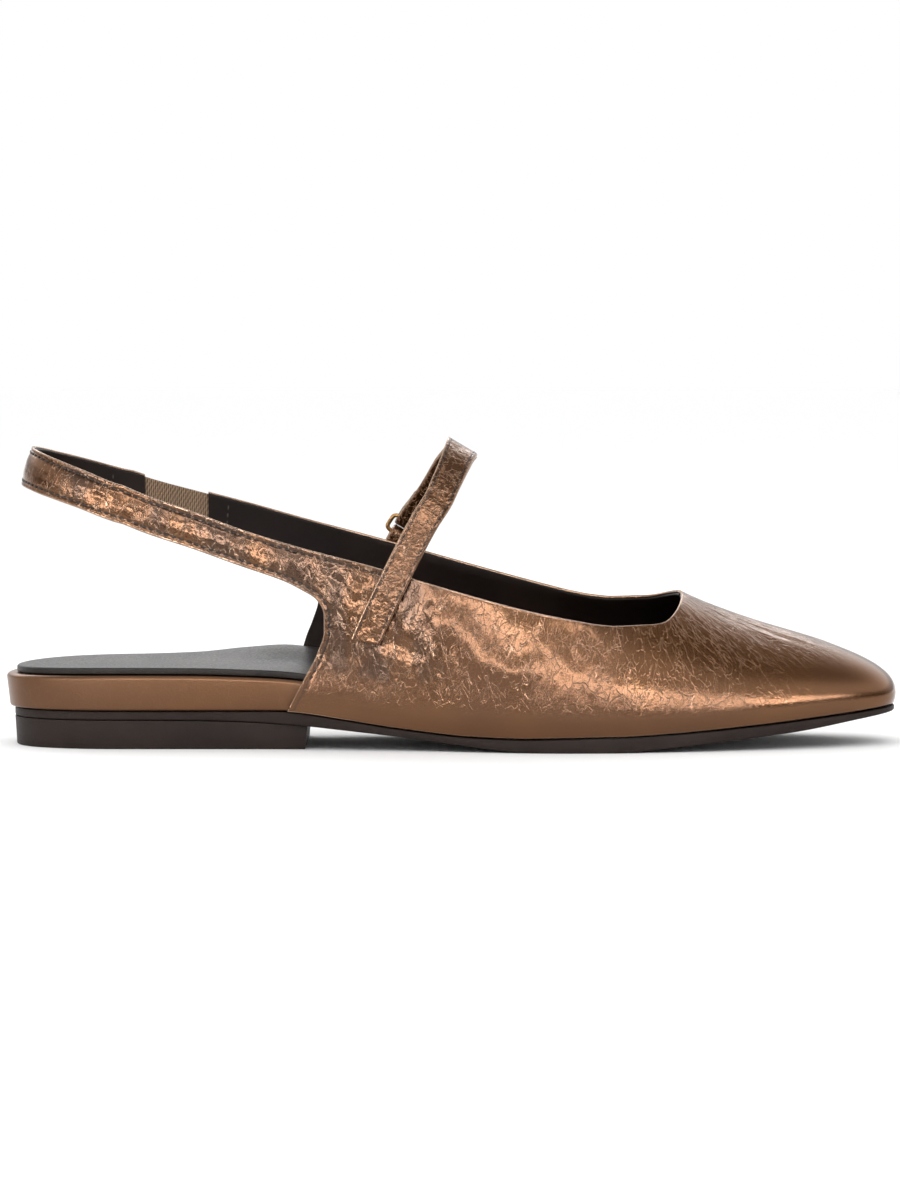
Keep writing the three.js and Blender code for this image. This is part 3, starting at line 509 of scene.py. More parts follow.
def crinkle_mask(ring, up, points):
    """Share of crinkle: most on the quarters and the sling, none at the toe's end and along the feather. It
    also sets how much painted crease highlight and painted dark reflection the leather gets.
    """
    u = fold(ring)
    low_edge = feather(points[..., 0])
    above = points[..., 2] - low_edge
    sling = smooth((ring_at(100) - u) / 0.2) * smooth((above - 8) / 12)
    calm = 1 - 0.35 * smooth((u - ring_at(118)) / 0.25)
    low = smooth((above - 4) / (0.15 * (crown(points[..., 0]) - low_edge)))
    toe = smooth((u - 2.05) / 0.5)
    throat = smooth((up - 0.35) / 0.5)
    mask = low * (1 - toe) * calm + toe * throat * 0.85
    front = mask * (1.5 - 0.6 * smooth((u - ring_at(108)) / 0.2))
    back = smooth((u - 0.25) / 0.5)
    return (front + (1.4 - front) * sling) * (0.3 + 0.7 * back)


def in_frame(point):
    """A point in millimetres from the back of the shoe, as a place in metres in the shared frame."""
    x, y, z = point
    return Vector((x - LENGTH / 2, y, z)) * MM


def grid_mesh(name, points, skin=None, look=None, cap_ends=True):
    """A tube from a grid operator. Its vertices go to points, and skin and look become its UV maps."""
    lines, rows = points.shape[:2]
    bm = bmesh.new()
    bmesh.ops.create_grid(bm, x_segments=lines - 1, y_segments=rows - 1, size=1.0)
    bm.verts.ensure_lookup_table()
    places = []
    for vert in bm.verts:
        i = round((vert.co.x + 1) / 2 * (lines - 1))
        j = round((vert.co.y + 1) / 2 * (rows - 1))
        places.append((i, j))
    layers = []
    for title, values in (("skin", skin), ("look", look)):
        if values is not None:
            layers.append((bm.loops.layers.uv.new(title), values))
    for face in bm.faces:
        for loop in face.loops:
            for layer, values in layers:
                loop[layer].uv = values[places[loop.vert.index]]
    for vert, place in zip(bm.verts, places):
        vert.co = in_frame(points[place])
    bmesh.ops.remove_doubles(bm, verts=bm.verts, dist=SEAM_REACH)
    if cap_ends:
        borders = [edge for edge in bm.edges if edge.is_boundary]
        bmesh.ops.holes_fill(bm, edges=borders, sides=0)
    bmesh.ops.recalc_face_normals(bm, faces=bm.faces)
    return finish_mesh(bm, name)


def finish_mesh(bm, name):
    """Turns a bmesh into an object of the scene, smooth apart from its sharp edges."""
    for face in bm.faces:
        face.smooth = True
    for edge in bm.edges:
        if edge.is_manifold and edge.calc_face_angle(0) > SHARP_ANGLE:
            edge.smooth = False
    mesh = bpy.data.meshes.new(name)
    bm.to_mesh(mesh)
    bm.free()
    piece = bpy.data.objects.new(name, mesh)
    bpy.context.scene.collection.objects.link(piece)
    return piece


def unit(vectors):
    return vectors / np.maximum(np.linalg.norm(vectors, axis=-1, keepdims=True), 1e-12)


def normals_of(points):
    return unit(np.cross(np.gradient(points, axis=0), np.gradient(points, axis=1)))


def length_along(points, axis=0):
    """Length from the first point to each point of a path, or of many paths at once."""
    steps = np.linalg.norm(np.diff(points, axis=axis), axis=-1)
    return np.concatenate([np.zeros_like(steps.take([0], axis)), np.cumsum(steps, axis)], axis)


def value_at(run, values, at):
    """The three numbers of values at one place of an increasing run."""
    return np.array([np.interp(at, run, values[:, axis]) for axis in range(3)])


def skin_of(ring, angle):
    """Skin coordinates in metres: length round the last at a middling height, and height up its side."""
    rings = np.linspace(-1.2, 5, 800)
    round_it = length_along(last_points(rings, 0.5))
    angles = np.linspace(0, math.pi / 2 - 0.01, 80)
    climb = length_along(last_points(rings[:, None], angles[None, :]), 1)
    i = np.clip((ring - rings[0]) / (rings[1] - rings[0]), 0, len(rings) - 1.001)
    j = np.clip(angle / angles[1], 0, len(angles) - 1.001)
    a, b = i.astype(int), j.astype(int)
    s, t = i - a, j - b
    near = climb[a, b] * (1 - t) + climb[a, b + 1] * t
    far = climb[a + 1, b] * (1 - t) + climb[a + 1, b + 1] * t
    return np.stack([np.interp(ring, rings, round_it), near * (1 - s) + far * s], -1) * MM


def band_faces(lines, rows):
    """Ring place, share of the way up, points and skin coordinates of a band's outer face."""
    share = np.linspace(0, 1, rows)
    from_feather = lines[:, 2:3] == 0
    bend = np.where(from_feather, share[None, :] ** 1.25, share[None, :])
    ring = lines[:, 0:1] + (lines[:, 1:2] - lines[:, 0:1]) * share[None, :]
    angle = lines[:, 2:3] + (lines[:, 3:4] - lines[:, 2:3]) * bend
    return ring, np.broadcast_to(share, ring.shape), last_points(ring, angle), skin_of(ring, angle)


def rounded_edge(edge, out, normal, radius, angles):
    """Rows of points round the half round edge of a layer."""
    centre = edge - normal * radius
    return np.stack([centre + normal * radius * math.cos(a) + out * radius * math.sin(a) for a in angles], 1)


def wrap_band(points, normals, start, thickness, outer_height=None, inner_rows=8, fold_rows=4, trim=0.0):
    """Points and skin coordinates of a leather layer, once round its section, with rounded edges.

    start: depth of its outer face under the surface. trim: what it is short of the surface at both edges."""
    radius = thickness / 2
    rise = np.gradient(points, axis=1)
    top_out, low_out = unit(rise[:, -1]), -unit(rise[:, 0])
    outer = points - normals * start
    if outer_height is not None:
        outer = outer + normals * outer_height[..., None]
    inner_pick = np.linspace(0, points.shape[1] - 1, inner_rows).round().astype(int)
    inner = points[:, inner_pick] - normals[:, inner_pick] * (start + thickness)
    for sheet in (outer, inner):
        sheet[:, -1] -= top_out * (radius + trim)
        sheet[:, 0] -= low_out * (radius + trim)
    angles = np.linspace(0, math.pi, fold_rows + 2)[1:-1]
    top = rounded_edge(outer[:, -1], top_out, normals[:, -1], radius, angles)
    low = rounded_edge(outer[:, 0], low_out, normals[:, 0], radius, angles[::-1])
    wrapped = np.concatenate([outer, top, inner[:, ::-1], low, outer[:, :1]], 1)
    v = length_along(wrapped, 1)
    u = length_along(points[:, points.shape[1] // 2])[:, None] + np.zeros_like(v)
    return wrapped, np.stack([u * MM, v * MM], -1)


def edge_distances(points, low_free=None):
    """Distance of each point of a face from its low edge, where that is free, and from its top edge."""
    gaps = []
    for edge, free in ((points[:, 0], low_free), (points[:, -1], None)):
        nearest = np.full(points.shape[:2], FAR)
        for shift in range(-EDGE_SEARCH, EDGE_SEARCH + 1):
            at = np.clip(np.arange(len(edge)) + shift, 0, len(edge) - 2)
            run = (edge[at + 1] - edge[at])[:, None]
            rel = points - edge[at][:, None]
            share = (rel * run).sum(-1) / np.maximum((run * run).sum(-1), 1e-12)
            away = np.linalg.norm(rel - np.clip(share, 0, 1)[..., None] * run, axis=-1)
            if free is not None:
                away = np.where(free[at][:, None], away, FAR)
            nearest = np.minimum(nearest, away)
        gaps.append(nearest)
    return gaps


# Shader building
def make_tree(owner):
    """The emptied node tree of a material or a world."""
    owner.use_nodes = True
    owner.node_tree.nodes.clear()
    return owner.node_tree


def new_material(name):
    material = bpy.data.materials.new(name)
    return material, make_tree(material)


def add(tree, kind, inputs=None, **settings):
    """A node with its settings. Each of its inputs is given as a value or as the socket that feeds it."""
    node = tree.nodes.new(kind)
    for name, value in settings.items():
        setattr(node, name, value)
    for name, value in (inputs or {}).items():
        socket = node.inputs[name]
        if isinstance(value, bpy.types.NodeSocket):
            tree.links.new(value, socket)
        else:
            socket.default_value = value
    return node


def math_node(tree, operation, a, b=0.0):
    return add(tree, "ShaderNodeMath", {0: a, 1: b}, operation=operation).outputs[0]


def times(tree, a, b):
    return math_node(tree, "MULTIPLY", a, b)


def plus(tree, a, b):
    return math_node(tree, "ADD", a, b)


def vector_math(tree, operation, a, b):
    second = "Scale" if operation == "SCALE" else 1
    return add(tree, "ShaderNodeVectorMath", {0: a, second: b}, operation=operation).outputs[0]


def noise_node(tree, vector, scale, detail):
    return add(tree, "ShaderNodeTexNoise", {"Vector": vector, "Scale": scale, "Detail": detail})


def ramp(tree, value, low, high, start=0.0, end=1.0):
    """A smooth step of a value, from start at low to end at high."""
    limits = {"Value": value, "From Min": low, "From Max": high, "To Min": start, "To Max": end}
    return add(tree, "ShaderNodeMapRange", limits, clamp=True, interpolation_type="SMOOTHSTEP").outputs[0]


def line_at(tree, value, level, width):
    """One where a value is at a level, and zero where it is a width off."""
    off = math_node(tree, "ABSOLUTE", math_node(tree, "SUBTRACT", value, level))
    return ramp(tree, off, 0.0, width, 1.0, 0.0)


def mix_colors(tree, share, a, b):
    return add(tree, "ShaderNodeMix", {0: share, 6: a, 7: b}, data_type="RGBA").outputs[2]


def group_of(name, inputs, outputs):
    """An empty node group. Its sockets hold numbers, apart from the one named Vector."""
    group = bpy.data.node_groups.new(name, "ShaderNodeTree")
    for titles, way in ((inputs, "INPUT"), (outputs, "OUTPUT")):
        for title in titles:
            kind = "NodeSocketVector" if title == "Vector" else "NodeSocketFloat"
            group.interface.new_socket(title, in_out=way, socket_type=kind)
    return group, group.nodes.new("NodeGroupInput"), group.nodes.new("NodeGroupOutput")


def wave_node(tree, vector, scale, distortion=0.0):
    inputs = {"Vector": vector, "Scale": scale, "Distortion": distortion}
    return add(tree, "ShaderNodeTexWave", inputs, bands_direction="X").outputs["Fac"]


def break_up(group, line, vector, scale):
    """Lets a line show only in places."""
    return times(group, line, ramp(group, noise_node(group, vector, scale, 2.0).outputs[0], 0.42, 0.56))


def foil_facet(group, skin, warped, scale, slope, width):
    """Tilted facets over cells of one size, and the creases between the cells."""
    cells = add(
        group,
        "ShaderNodeTexVoronoi",
        {"Vector": warped, "Scale": scale},
        voronoi_dimensions="2D",
        feature="DISTANCE_TO_EDGE",
    )
    rim = cells.outputs["Distance"]
    lean = ramp(group, noise_node(group, skin, scale * 0.9, 1.0).outputs[0], 0.3, 0.66, -0.5, 1.0)
    facet = times(group, times(group, rim, slope), lean)
    return facet, break_up(group, ramp(group, rim, 0.0, width, 1.0, 0.0), skin, scale * 1.3)


def foil_fold(group, warped, scale, offset, width):
    """Winding creases, where a noise is at its middle level."""
    moved = vector_math(group, "ADD", warped, (offset, offset, offset))
    line = line_at(group, noise_node(group, moved, scale, 1.5).outputs[0], 0.5, width)
    return break_up(group, line, moved, scale * 0.9)


def leather_crackle():
    """Foil crumpled on leather: tilted facets, with thin raised creases between them. Heights are in mm."""
    inputs = ("Vector", "Cell", "Stretch")
    group, given, out = group_of("leather_crackle", inputs, ("Line", "Height", "Patch"))
    stretch = add(group, "ShaderNodeCombineXYZ", {0: 1.0, 1: given.outputs["Stretch"], 2: 1.0}).outputs[0]
    skin = vector_math(group, "MULTIPLY", given.outputs["Vector"], stretch)
    skin = vector_math(group, "SCALE", skin, given.outputs["Cell"])
    bend = vector_math(group, "SUBTRACT", noise_node(group, skin, 0.6, 1.5).outputs["Color"], (0.5, 0.5, 0.5))
    warped = vector_math(group, "ADD", skin, vector_math(group, "SCALE", bend, 1.3))
    patch = noise_node(group, skin, 0.22, 2.0).outputs[0]
    height = times(group, patch, 0.6)
    creases = []
    for scale, slope, width in FOIL_FACETS:
        facet, crease = foil_facet(group, skin, warped, scale, slope, width)
        height = plus(group, height, facet)
        creases.append(crease)
    for scale, offset, width in FOIL_FOLDS:
        creases.append(foil_fold(group, warped, scale, offset, width))
    lines = creases[0]
    for crease in creases[1:]:
        lines = math_node(group, "MAXIMUM", lines, crease)
    height = plus(group, height, times(group, lines, 0.085))
    for title, value in (("Line", lines), ("Height", height), ("Patch", patch)):
        group.links.new(value, out.inputs[title])
    return group


def grain_group():
    """Fine pores and a slow change of tone, from Object coordinates."""
    group, given, out = group_of("grain", ("Scale",), ("Fine", "Broad"))
    place = add(group, "ShaderNodeTexCoord").outputs["Object"]
    group.links.new(noise_node(group, place, given.outputs["Scale"], 4.0).outputs[0], out.inputs["Fine"])
    group.links.new(noise_node(group, place, 38.0, 2.0).outputs[0], out.inputs["Broad"])
    return group


# Facets of the foil: scale of the cells, slope of the facets, width of the creases between them
FOIL_FACETS = ((0.42, 0.3, 0.022), (0.95, 0.16, 0.04))
# Winding creases over them: scale, offset of the noise, width
FOIL_FOLDS = ((0.55, 3.7, 0.016), (1.05, 9.1, 0.02))
CRACKLE = leather_crackle()
GRAIN = grain_group()

# Linear colours
BRONZE = (0.128, 0.046, 0.007, 1)
BRONZE_TWO = (0.107, 0.0375, 0.0055, 1)
# Painted shade: dark reflections painted on the crinkled leather, and shade painted into the stitching
# groove.
BRONZE_PAINTED_SHADE = (0.045, 0.018, 0.006, 1)
# Painted highlight: along the crease lines and on the rounded edges of the leather.
BRONZE_PAINTED_HIGHLIGHT = (0.62, 0.42, 0.29, 1)
CHOCOLATE = (0.0075, 0.0042, 0.0032, 1)
CHOCOLATE_LIGHT = (0.014, 0.008, 0.006, 1)
SOCK_BLACK = (0.018, 0.015, 0.0135, 1)
SOCK_GREY = (0.04, 0.034, 0.031, 1)
SOLE_BROWN = (0.016, 0.0095, 0.0075, 1)
SOLE_LIGHT = (0.024, 0.0155, 0.0125, 1)
# Painted shade of the elastic: the first colour for its hollows, the second for the tops of its ribs.
ELASTIC_IN_SHADE = (0.085, 0.05, 0.03, 1)
ELASTIC_LIT = (0.36, 0.235, 0.14, 1)
BRASS_DARK = (0.24, 0.12, 0.045, 1)
BRASS_WORN = (0.62, 0.37, 0.16, 1)
THREAD_BROWN = (0.012, 0.007, 0.005, 1)
THREAD_LIGHT = (0.03, 0.018, 0.012, 1)
FLOOR_WHITE = (0.93, 0.93, 0.93, 1)


def grain_of(tree, scale):
    node = add(tree, "ShaderNodeGroup", {"Scale": scale}, node_tree=GRAIN)
    return node.outputs["Fine"], node.outputs["Broad"]


def surface(tree, base, roughness, relief, finish):
    """The shader and the output. relief: height, distance in metres, strength. finish: its other sockets."""
    height, distance, strength = relief
    bump = add(tree, "ShaderNodeBump", {"Height": height, "Distance": distance, "Strength": strength})
    inputs = {"Base Color": base, "Roughness": roughness, "Normal": bump.outputs[0]}
    inputs.update(finish)
    shader = add(tree, "ShaderNodeBsdfPrincipled", inputs)
    add(tree, "ShaderNodeOutputMaterial", {0: shader.outputs[0]})


def bronze_leather(name, crackle, cell=430.0, stretch=0.45, rough=0.14):
    """Foiled leather, with painted light in its colour. Its skin map is in metres. Its look map is crinkle
    share and edge distance in mm.
    """
    material, tree = new_material(name)
    skin = add(tree, "ShaderNodeUVMap", uv_map="skin").outputs[0]
    look = add(tree, "ShaderNodeUVMap", uv_map="look").outputs[0]
    parts = add(tree, "ShaderNodeSeparateXYZ", {0: look})
    share, edge = parts.outputs[0], parts.outputs[1]
    foil = add(tree, "ShaderNodeGroup", {"Vector": skin, "Cell": cell, "Stretch": stretch}, node_tree=CRACKLE)
    fine, broad = grain_of(tree, 1500.0)
    tone = ramp(tree, broad, 0.35, 0.68)
    base = mix_colors(tree, tone, BRONZE, BRONZE_TWO)
    # Painted dark reflections: dark patches where the crinkle share is high.
    painted_dark_reflections = times(tree, ramp(tree, foil.outputs["Patch"], 0.36, 0.58), ramp(tree, share, 0.75, 1.4))
    # Painted highlight along the crease lines.
    creases = times(tree, foil.outputs["Line"], share)
    # Painted shade in the groove of the stitching.
    groove = line_at(tree, edge, STITCH_INSET, 0.5)
    # Painted highlight on the rounded edges.
    rim = ramp(tree, edge, 0.0, 0.5, 1.0, 0.0)
    # Painted light mixed into the base: shade for dark reflections and the groove, highlight for crease lines
    # and edges.
    for mask, strength, color in (
        (painted_dark_reflections, 0.7, BRONZE_PAINTED_SHADE),
        (creases, 0.22, BRONZE_PAINTED_HIGHLIGHT),
        (groove, 0.75, BRONZE_PAINTED_SHADE),
        (rim, 0.4, BRONZE_PAINTED_HIGHLIGHT),
    ):
        base = mix_colors(tree, times(tree, mask, strength), base, color)
    roughness = plus(tree, rough, times(tree, tone, 0.08))
    height = times(tree, foil.outputs["Height"], times(tree, share, crackle))
    height = plus(tree, height, times(tree, fine, 0.035))
    gloss = {"Metallic": 0.8, "IOR": 2.0, "Specular IOR Level": 0.8}
    surface(tree, base, roughness, (height, 0.001, 1.0), gloss)
    return material


def fine_grained(name, dark, light, rough, depth, scale, shine):
    """Plain leather or rubber with fine pores, two close tones and a soft gloss."""
    material, tree = new_material(name)
    fine, broad = grain_of(tree, scale)
    place = add(tree, "ShaderNodeTexCoord").outputs["Object"]
    pores = add(tree, "ShaderNodeTexVoronoi", {"Vector": place, "Scale": scale}, feature="DISTANCE_TO_EDGE")
    base = mix_colors(tree, ramp(tree, broad, 0.35, 0.7), dark, light)
    base = mix_colors(tree, ramp(tree, fine, 0.5, 0.75, 0.0, 0.35), base, light)
    roughness = ramp(tree, fine, 0.3, 0.7, rough - 0.06, rough + 0.08)
    height = plus(tree, fine, ramp(tree, pores.outputs["Distance"], 0.0, 0.25))
    surface(tree, base, roughness, (height, depth, 0.6), {"Specular IOR Level": shine})
    return material


def ribbed_elastic(name):
    """Ribbed elastic: fine ribs up and down with a slanting thread over them."""
    material, tree = new_material(name)
    skin = add(tree, "ShaderNodeUVMap", uv_map="skin").outputs[0]
    slant = add(tree, "ShaderNodeMapping", {"Vector": skin, "Rotation": (0, 0, 0.5)})
    threads = wave_node(tree, slant.outputs[0], 330.0)
    height = plus(tree, wave_node(tree, skin, 470.0, 0.8), times(tree, threads, 0.7))
    height = plus(tree, height, times(tree, grain_of(tree, 3000.0)[0], 0.4))
    # Painted shade: the colour follows the height, darker in the hollows between the ribs and threads,
    # lighter on top of them.
    base = mix_colors(tree, ramp(tree, height, 0.5, 1.6), ELASTIC_IN_SHADE, ELASTIC_LIT)
    surface(tree, base, 0.62, (height, 0.0002, 0.8), {"Metallic": 0.25})
    return material


def aged_brass(name):
    """Brass that is brighter and smoother where it is worn."""
    material, tree = new_material(name)
    fine = grain_of(tree, 1800.0)[0]
    base = mix_colors(tree, ramp(tree, fine, 0.4, 0.68), BRASS_DARK, BRASS_WORN)
    surface(tree, base, ramp(tree, fine, 0.3, 0.7, 0.42, 0.24), (fine, 0.00003, 0.5), {"Metallic": 1.0})
    return material


def sewing_thread(name):
    material, tree = new_material(name)
    fine = grain_of(tree, 5000.0)[0]
    base = mix_colors(tree, ramp(tree, fine, 0.35, 0.7), THREAD_BROWN, THREAD_LIGHT)
    surface(tree, base, 0.55, (fine, 0.00005, 0.6), {})
    return material


UPPER_LEATHER = bronze_leather("bronze_upper", 1.0)
STRAP_LEATHER = bronze_leather("bronze_strap", 1.3, 430.0, 0.8)
SMOOTH_LEATHER = bronze_leather("bronze_platform", 0.2, 200.0, 1.0, 0.3)
LINING = fine_grained("lining", CHOCOLATE, CHOCOLATE_LIGHT, 0.4, 0.00003, 2400.0, 0.14)
SOCK_SKIN = fine_grained("sock", SOCK_BLACK, SOCK_GREY, 0.42, 0.00004, 1300.0, 0.2)
SOLE_RUBBER = fine_grained("sole_rubber", SOLE_BROWN, SOLE_LIGHT, 0.5, 0.00004, 2200.0, 0.16)
ELASTIC = ribbed_elastic("elastic")
BRASS = aged_brass("aged_brass")
THREAD = sewing_thread("thread")


def dress(piece, material, slot, *nodes):
    """Gives a piece its material and its body, and hides the CAD nodes that it stands for. Its slot is not
    used.
    """
    piece.data.materials.append(material)
    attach(piece, "root")
    if nodes:
        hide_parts(*nodes)
    return piece


def stitch_row(bm, path, normals, pitch=STITCH_PITCH, sink=0.1, width=STITCH_WIDTH):
    """Stitches along a path in millimetres, each a small flattened bead, sunk into the leather."""
    run = length_along(path)
    count = int(run[-1] / pitch)
    for k in range(count):
        at = (k + 0.5) * run[-1] / count
        along = Vector(value_at(run, path, at + 0.3) - value_at(run, path, at - 0.3)).normalized()
        up = Vector(value_at(run, normals, at)).normalized()
        side = up.cross(along).normalized()
        up = along.cross(side)
        turn = Matrix((along, side, up)).transposed().to_4x4()
        size = Matrix.Diagonal((STITCH_LENGTH / 2 * MM, width / 2 * MM, width * 0.36 * MM, 1))
        place = Matrix.Translation(in_frame(value_at(run, path, at) + np.array(up) * -sink))
        bmesh.ops.create_uvsphere(bm, u_segments=6, v_segments=5, radius=1, matrix=place @ turn @ size)


def finish_stitching(bm, name):
    bmesh.ops.recalc_face_normals(bm, faces=bm.faces)
    dress(finish_mesh(bm, name), THREAD, "upper_leather")


# Upper: the bronze leather, its lining and its stitching
def upper_relief(points, ring, up, low_gap, top_gap, stitched_top):
    """Outward height of the leather: creases, the groove of the stitching and the sling's fuller middle."""
    nearest = np.minimum(low_gap, top_gap)
    height = crease_field(points, ring, up) * smooth(nearest / 3.0)
    seam_gap = np.minimum(low_gap, np.where(stitched_top[:, None], top_gap, FAR))
    height -= 0.2 * np.exp(-(((seam_gap - STITCH_INSET) / 0.5) ** 2))
    sling = smooth((ring_at(88) - fold(ring)) / 0.15)
    return height + 0.3 * smooth((nearest - STITCH_INSET) / 3.0) * sling


def upper_look(mask, rows, low_gap, top_gap, stitched_top):
    """Look map of the leather, which places its painted shade and painted highlight. An edge without
    stitching is put far away, so it gets no painted shade of a groove.
    """
    look = np.zeros((len(mask), rows, 2))
    face = mask.shape[1]
    look[..., 0] = 0.4
    look[:, :face, 0] = mask
    plain = (~stitched_top)[:, None] & (top_gap > 0.9)
    look[:, :face, 1] = np.minimum(low_gap, top_gap + FAR * plain)
    return look


def edge_stitches(bm, points, normals, gaps, wanted, step):
    """Stitches inside an edge of the band, wherever its lines want them. step: 1 low edge, -1 top edge."""
    breaks = np.flatnonzero(np.diff(wanted.astype(int))) + 1
    for run in np.split(np.arange(len(points)), breaks):
        if not wanted[run[0]] or len(run) < 4:
            continue
        path, outward = [], []
        for i in run:
            gap = np.maximum.accumulate(gaps[i, ::step])
            path.append(value_at(gap, points[i, ::step], STITCH_INSET))
            outward.append(value_at(gap, normals[i, ::step], STITCH_INSET))
        stitch_row(bm, np.array(path), np.array(outward), sink=0.06)


def end_stitches(bm, points, normals, inside):
    """Stitches across an end of the band, outside and on its lining."""
    points, normals = points[inside], normals[inside]
    stitch_row(bm, points, normals)
    stitch_row(bm, points - normals * WALL, -normals)


def make_upper():
    lines = upper_lines(3)
    ring, up, points, face_skin = band_faces(lines, 40)
    normals = normals_of(points)
    stitched_top = (lines[:, 1] < ring_at(118)) | (lines[:, 1] > 6 - ring_at(150))
    stitched_low = points[:, 0, 2] - feather(points[:, 0, 0]) > 1.5
    low_gap, top_gap = edge_distances(points, stitched_low)

    height = upper_relief(points, ring, up, low_gap, top_gap, stitched_top)
    wrapped, skin = wrap_band(points, normals, 0.0, LEATHER, height)
    face = points.shape[1]
    skin += face_skin[:, -1:] - skin[:, face - 1 : face]
    skin[:, :face] = face_skin
    look = upper_look(crinkle_mask(ring, up, points), wrapped.shape[1], low_gap, top_gap, stitched_top)
    dress(grid_mesh("upper_leather", wrapped, skin, look), UPPER_LEATHER, "upper_leather", "upper")

    wrapped, skin = wrap_band(points, normals, LEATHER, WALL - LEATHER, None, 14, 3, 0.35)
    dress(grid_mesh("upper_lining", wrapped, skin), LINING, "lining")

    bm = bmesh.new()
    edge_stitches(bm, points, normals, top_gap, stitched_top, -1)
    edge_stitches(bm, points, normals, low_gap, stitched_low, 1)
    for i in (4, len(lines) - 5):
        inside = (low_gap[i] > STITCH_INSET) & (top_gap[i] > STITCH_INSET)
        end_stitches(bm, points[i], normals[i], inside)
    finish_stitching(bm, "upper_stitching")


# Elastic
def make_gore():
    steps, rows = 150, 26
    xs = np.linspace(GORE_START - GORE_TUCKED, GORE_END + GORE_TUCKED, steps)
    tops = topline_at(xs, True)
    low = angle_at(xs, tops - SLING_WIDTH * INNER_EDGE[0][2] + GORE_STEP)
    high = angle_at(xs, tops - GORE_STEP)
    ring = -ring_at(xs)
    lines = np.stack([ring, ring, low, high], 1)[::-1]
    points = band_faces(lines, rows)[2]
    run = np.linspace(0, GORE_END - GORE_START + 2 * GORE_TUCKED, steps)[:, None]
    ribs = GORE_RIB_HEIGHT * np.sin(run * 2 * math.pi / GORE_RIB_PITCH) + np.zeros((steps, rows))
    start = (WALL - GORE_THICKNESS) / 2 + 0.1
    wrapped, skin = wrap_band(points, normals_of(points), start, GORE_THICKNESS - 0.2, ribs, rows, 3)
    dress(grid_mesh("gore_elastic", wrapped, skin), ELASTIC, "elastic", "gore")


# Instep strap, its lining, the ring and the ring's tab
def place_at(x, degrees):
    """Points and outward directions of the last at x and at degrees round its section from the outer side."""
    x, degrees = np.broadcast_arrays(np.asarray(x, float), np.asarray(degrees, float))
    inner = degrees > 90
    angle = np.radians(np.where(inner, 180 - degrees, degrees))
    ring = np.where(inner, 6 - ring_at(x), ring_at(x))
    height = crown(x) - feather(x)
    power = (SECTION_POWER - 1) * 2 / SECTION_POWER
    out_y = np.where(inner, 1, -1) * np.cos(angle) ** power / half_width(x)
    out_z = np.sin(angle) ** power / height
    return last_points(ring, angle), unit(np.stack([np.zeros_like(out_y), out_y, out_z], -1))


def strap_frames(degrees):
    """Point, along, across and outward direction of the strap's path on the last."""
    degrees = np.asarray(degrees, float)
    step = 0.5
    point, out = place_at(strap_along(degrees) * LENGTH, degrees)
    ahead = place_at(strap_along(degrees + step) * LENGTH, degrees + step)[0]
    back = place_at(strap_along(degrees - step) * LENGTH, degrees - step)[0]
    along = unit(ahead - back)
    across = unit(np.cross(along, out))
    return point, along, across, np.cross(across, along)


def nearest_on_last(targets, degrees):
    """Points and outward directions of the last, each the nearest to a target within its section."""
    low = degrees - 9.0 + np.zeros(targets.shape[:-1])
    high = low + 18.0
    for unused in range(30):
        third = (high - low) / 3
        near = np.linalg.norm(place_at(targets[..., 0], low + third)[0] - targets, axis=-1)
        far = np.linalg.norm(place_at(targets[..., 0], high - third)[0] - targets, axis=-1)
        closer = near < far
        high = np.where(closer, high - third, high)
        low = np.where(closer, low, low + third)
    return place_at(targets[..., 0], (low + high) / 2)


def ring_frame():
    """Centre of the ring, and its directions along the strap, across it and outwards."""
    point, along, across, out = (value[0] for value in strap_frames([RING_AT]))
    return point + out * (SEAT + TURN_RADIUS), along, across, out


def strap_faces(start, end, heading, count, width):
    """Middle surface of a strap that lies on the last, turns round a bar of the ring and folds back."""
    centre, along, across, out = ring_frame()
    away = along * heading
    bar = centre + away * (RING_HEIGHT - RING_WIRE) / 2
    near = RING_AT + heading * BAR_STEP
    shares = np.linspace(-0.5, 0.5, STRAP_COLUMNS) * width
    degrees = np.linspace(start, near, count)
    point, unused, cross, unused_out = strap_frames(degrees)
    targets = point[:, None] + cross[:, None] * shares[None, :, None]
    ground, outward = nearest_on_last(targets, degrees[:, None])
    faces = [ground + outward * SEAT]
    normals = [outward]
    turns = np.linspace(0, math.pi, 15)[1:]
    turn_out = out[None] * np.cos(turns)[:, None] + away[None] * np.sin(turns)[:, None]
    spots = bar[None] - turn_out * TURN_RADIUS
    faces.append(spots[:, None] + across[None, None] * shares[None, :, None])
    normals.append(np.repeat(turn_out[:, None], STRAP_COLUMNS, 1))
    share = np.linspace(0, 1, 13)[1:]
    point, unused, cross, back_out = strap_frames(near + (end - near) * share)
    ease = smooth(share * 1.6)
    lift = 2 * TURN_RADIUS + (STRAP_THICKNESS + GAP - 2 * TURN_RADIUS) * ease
    spots = point + back_out * (SEAT + lift)[:, None]
    faces.append(spots[:, None] + cross[:, None] * shares[None, :, None])
    normals.append(np.repeat(-back_out[:, None], STRAP_COLUMNS, 1))
    return np.concatenate(faces), np.concatenate(normals)


def strap_relief(top, gap):
    """Outward height of the instep strap: two creases across it and the groove of its stitching."""
    height = np.zeros(gap.shape)
    run = length_along(top[:, STRAP_COLUMNS // 2])
    skew = np.linspace(-0.8, 0.8, STRAP_COLUMNS)[None]
    for at, depth, wide in STRAP_CREASES:
        height += depth * wrinkle(run[:, None] - at + skew, wide)
    return height - 0.12 * np.exp(-(((gap - STRAP_STITCH_INSET) / 0.4) ** 2))


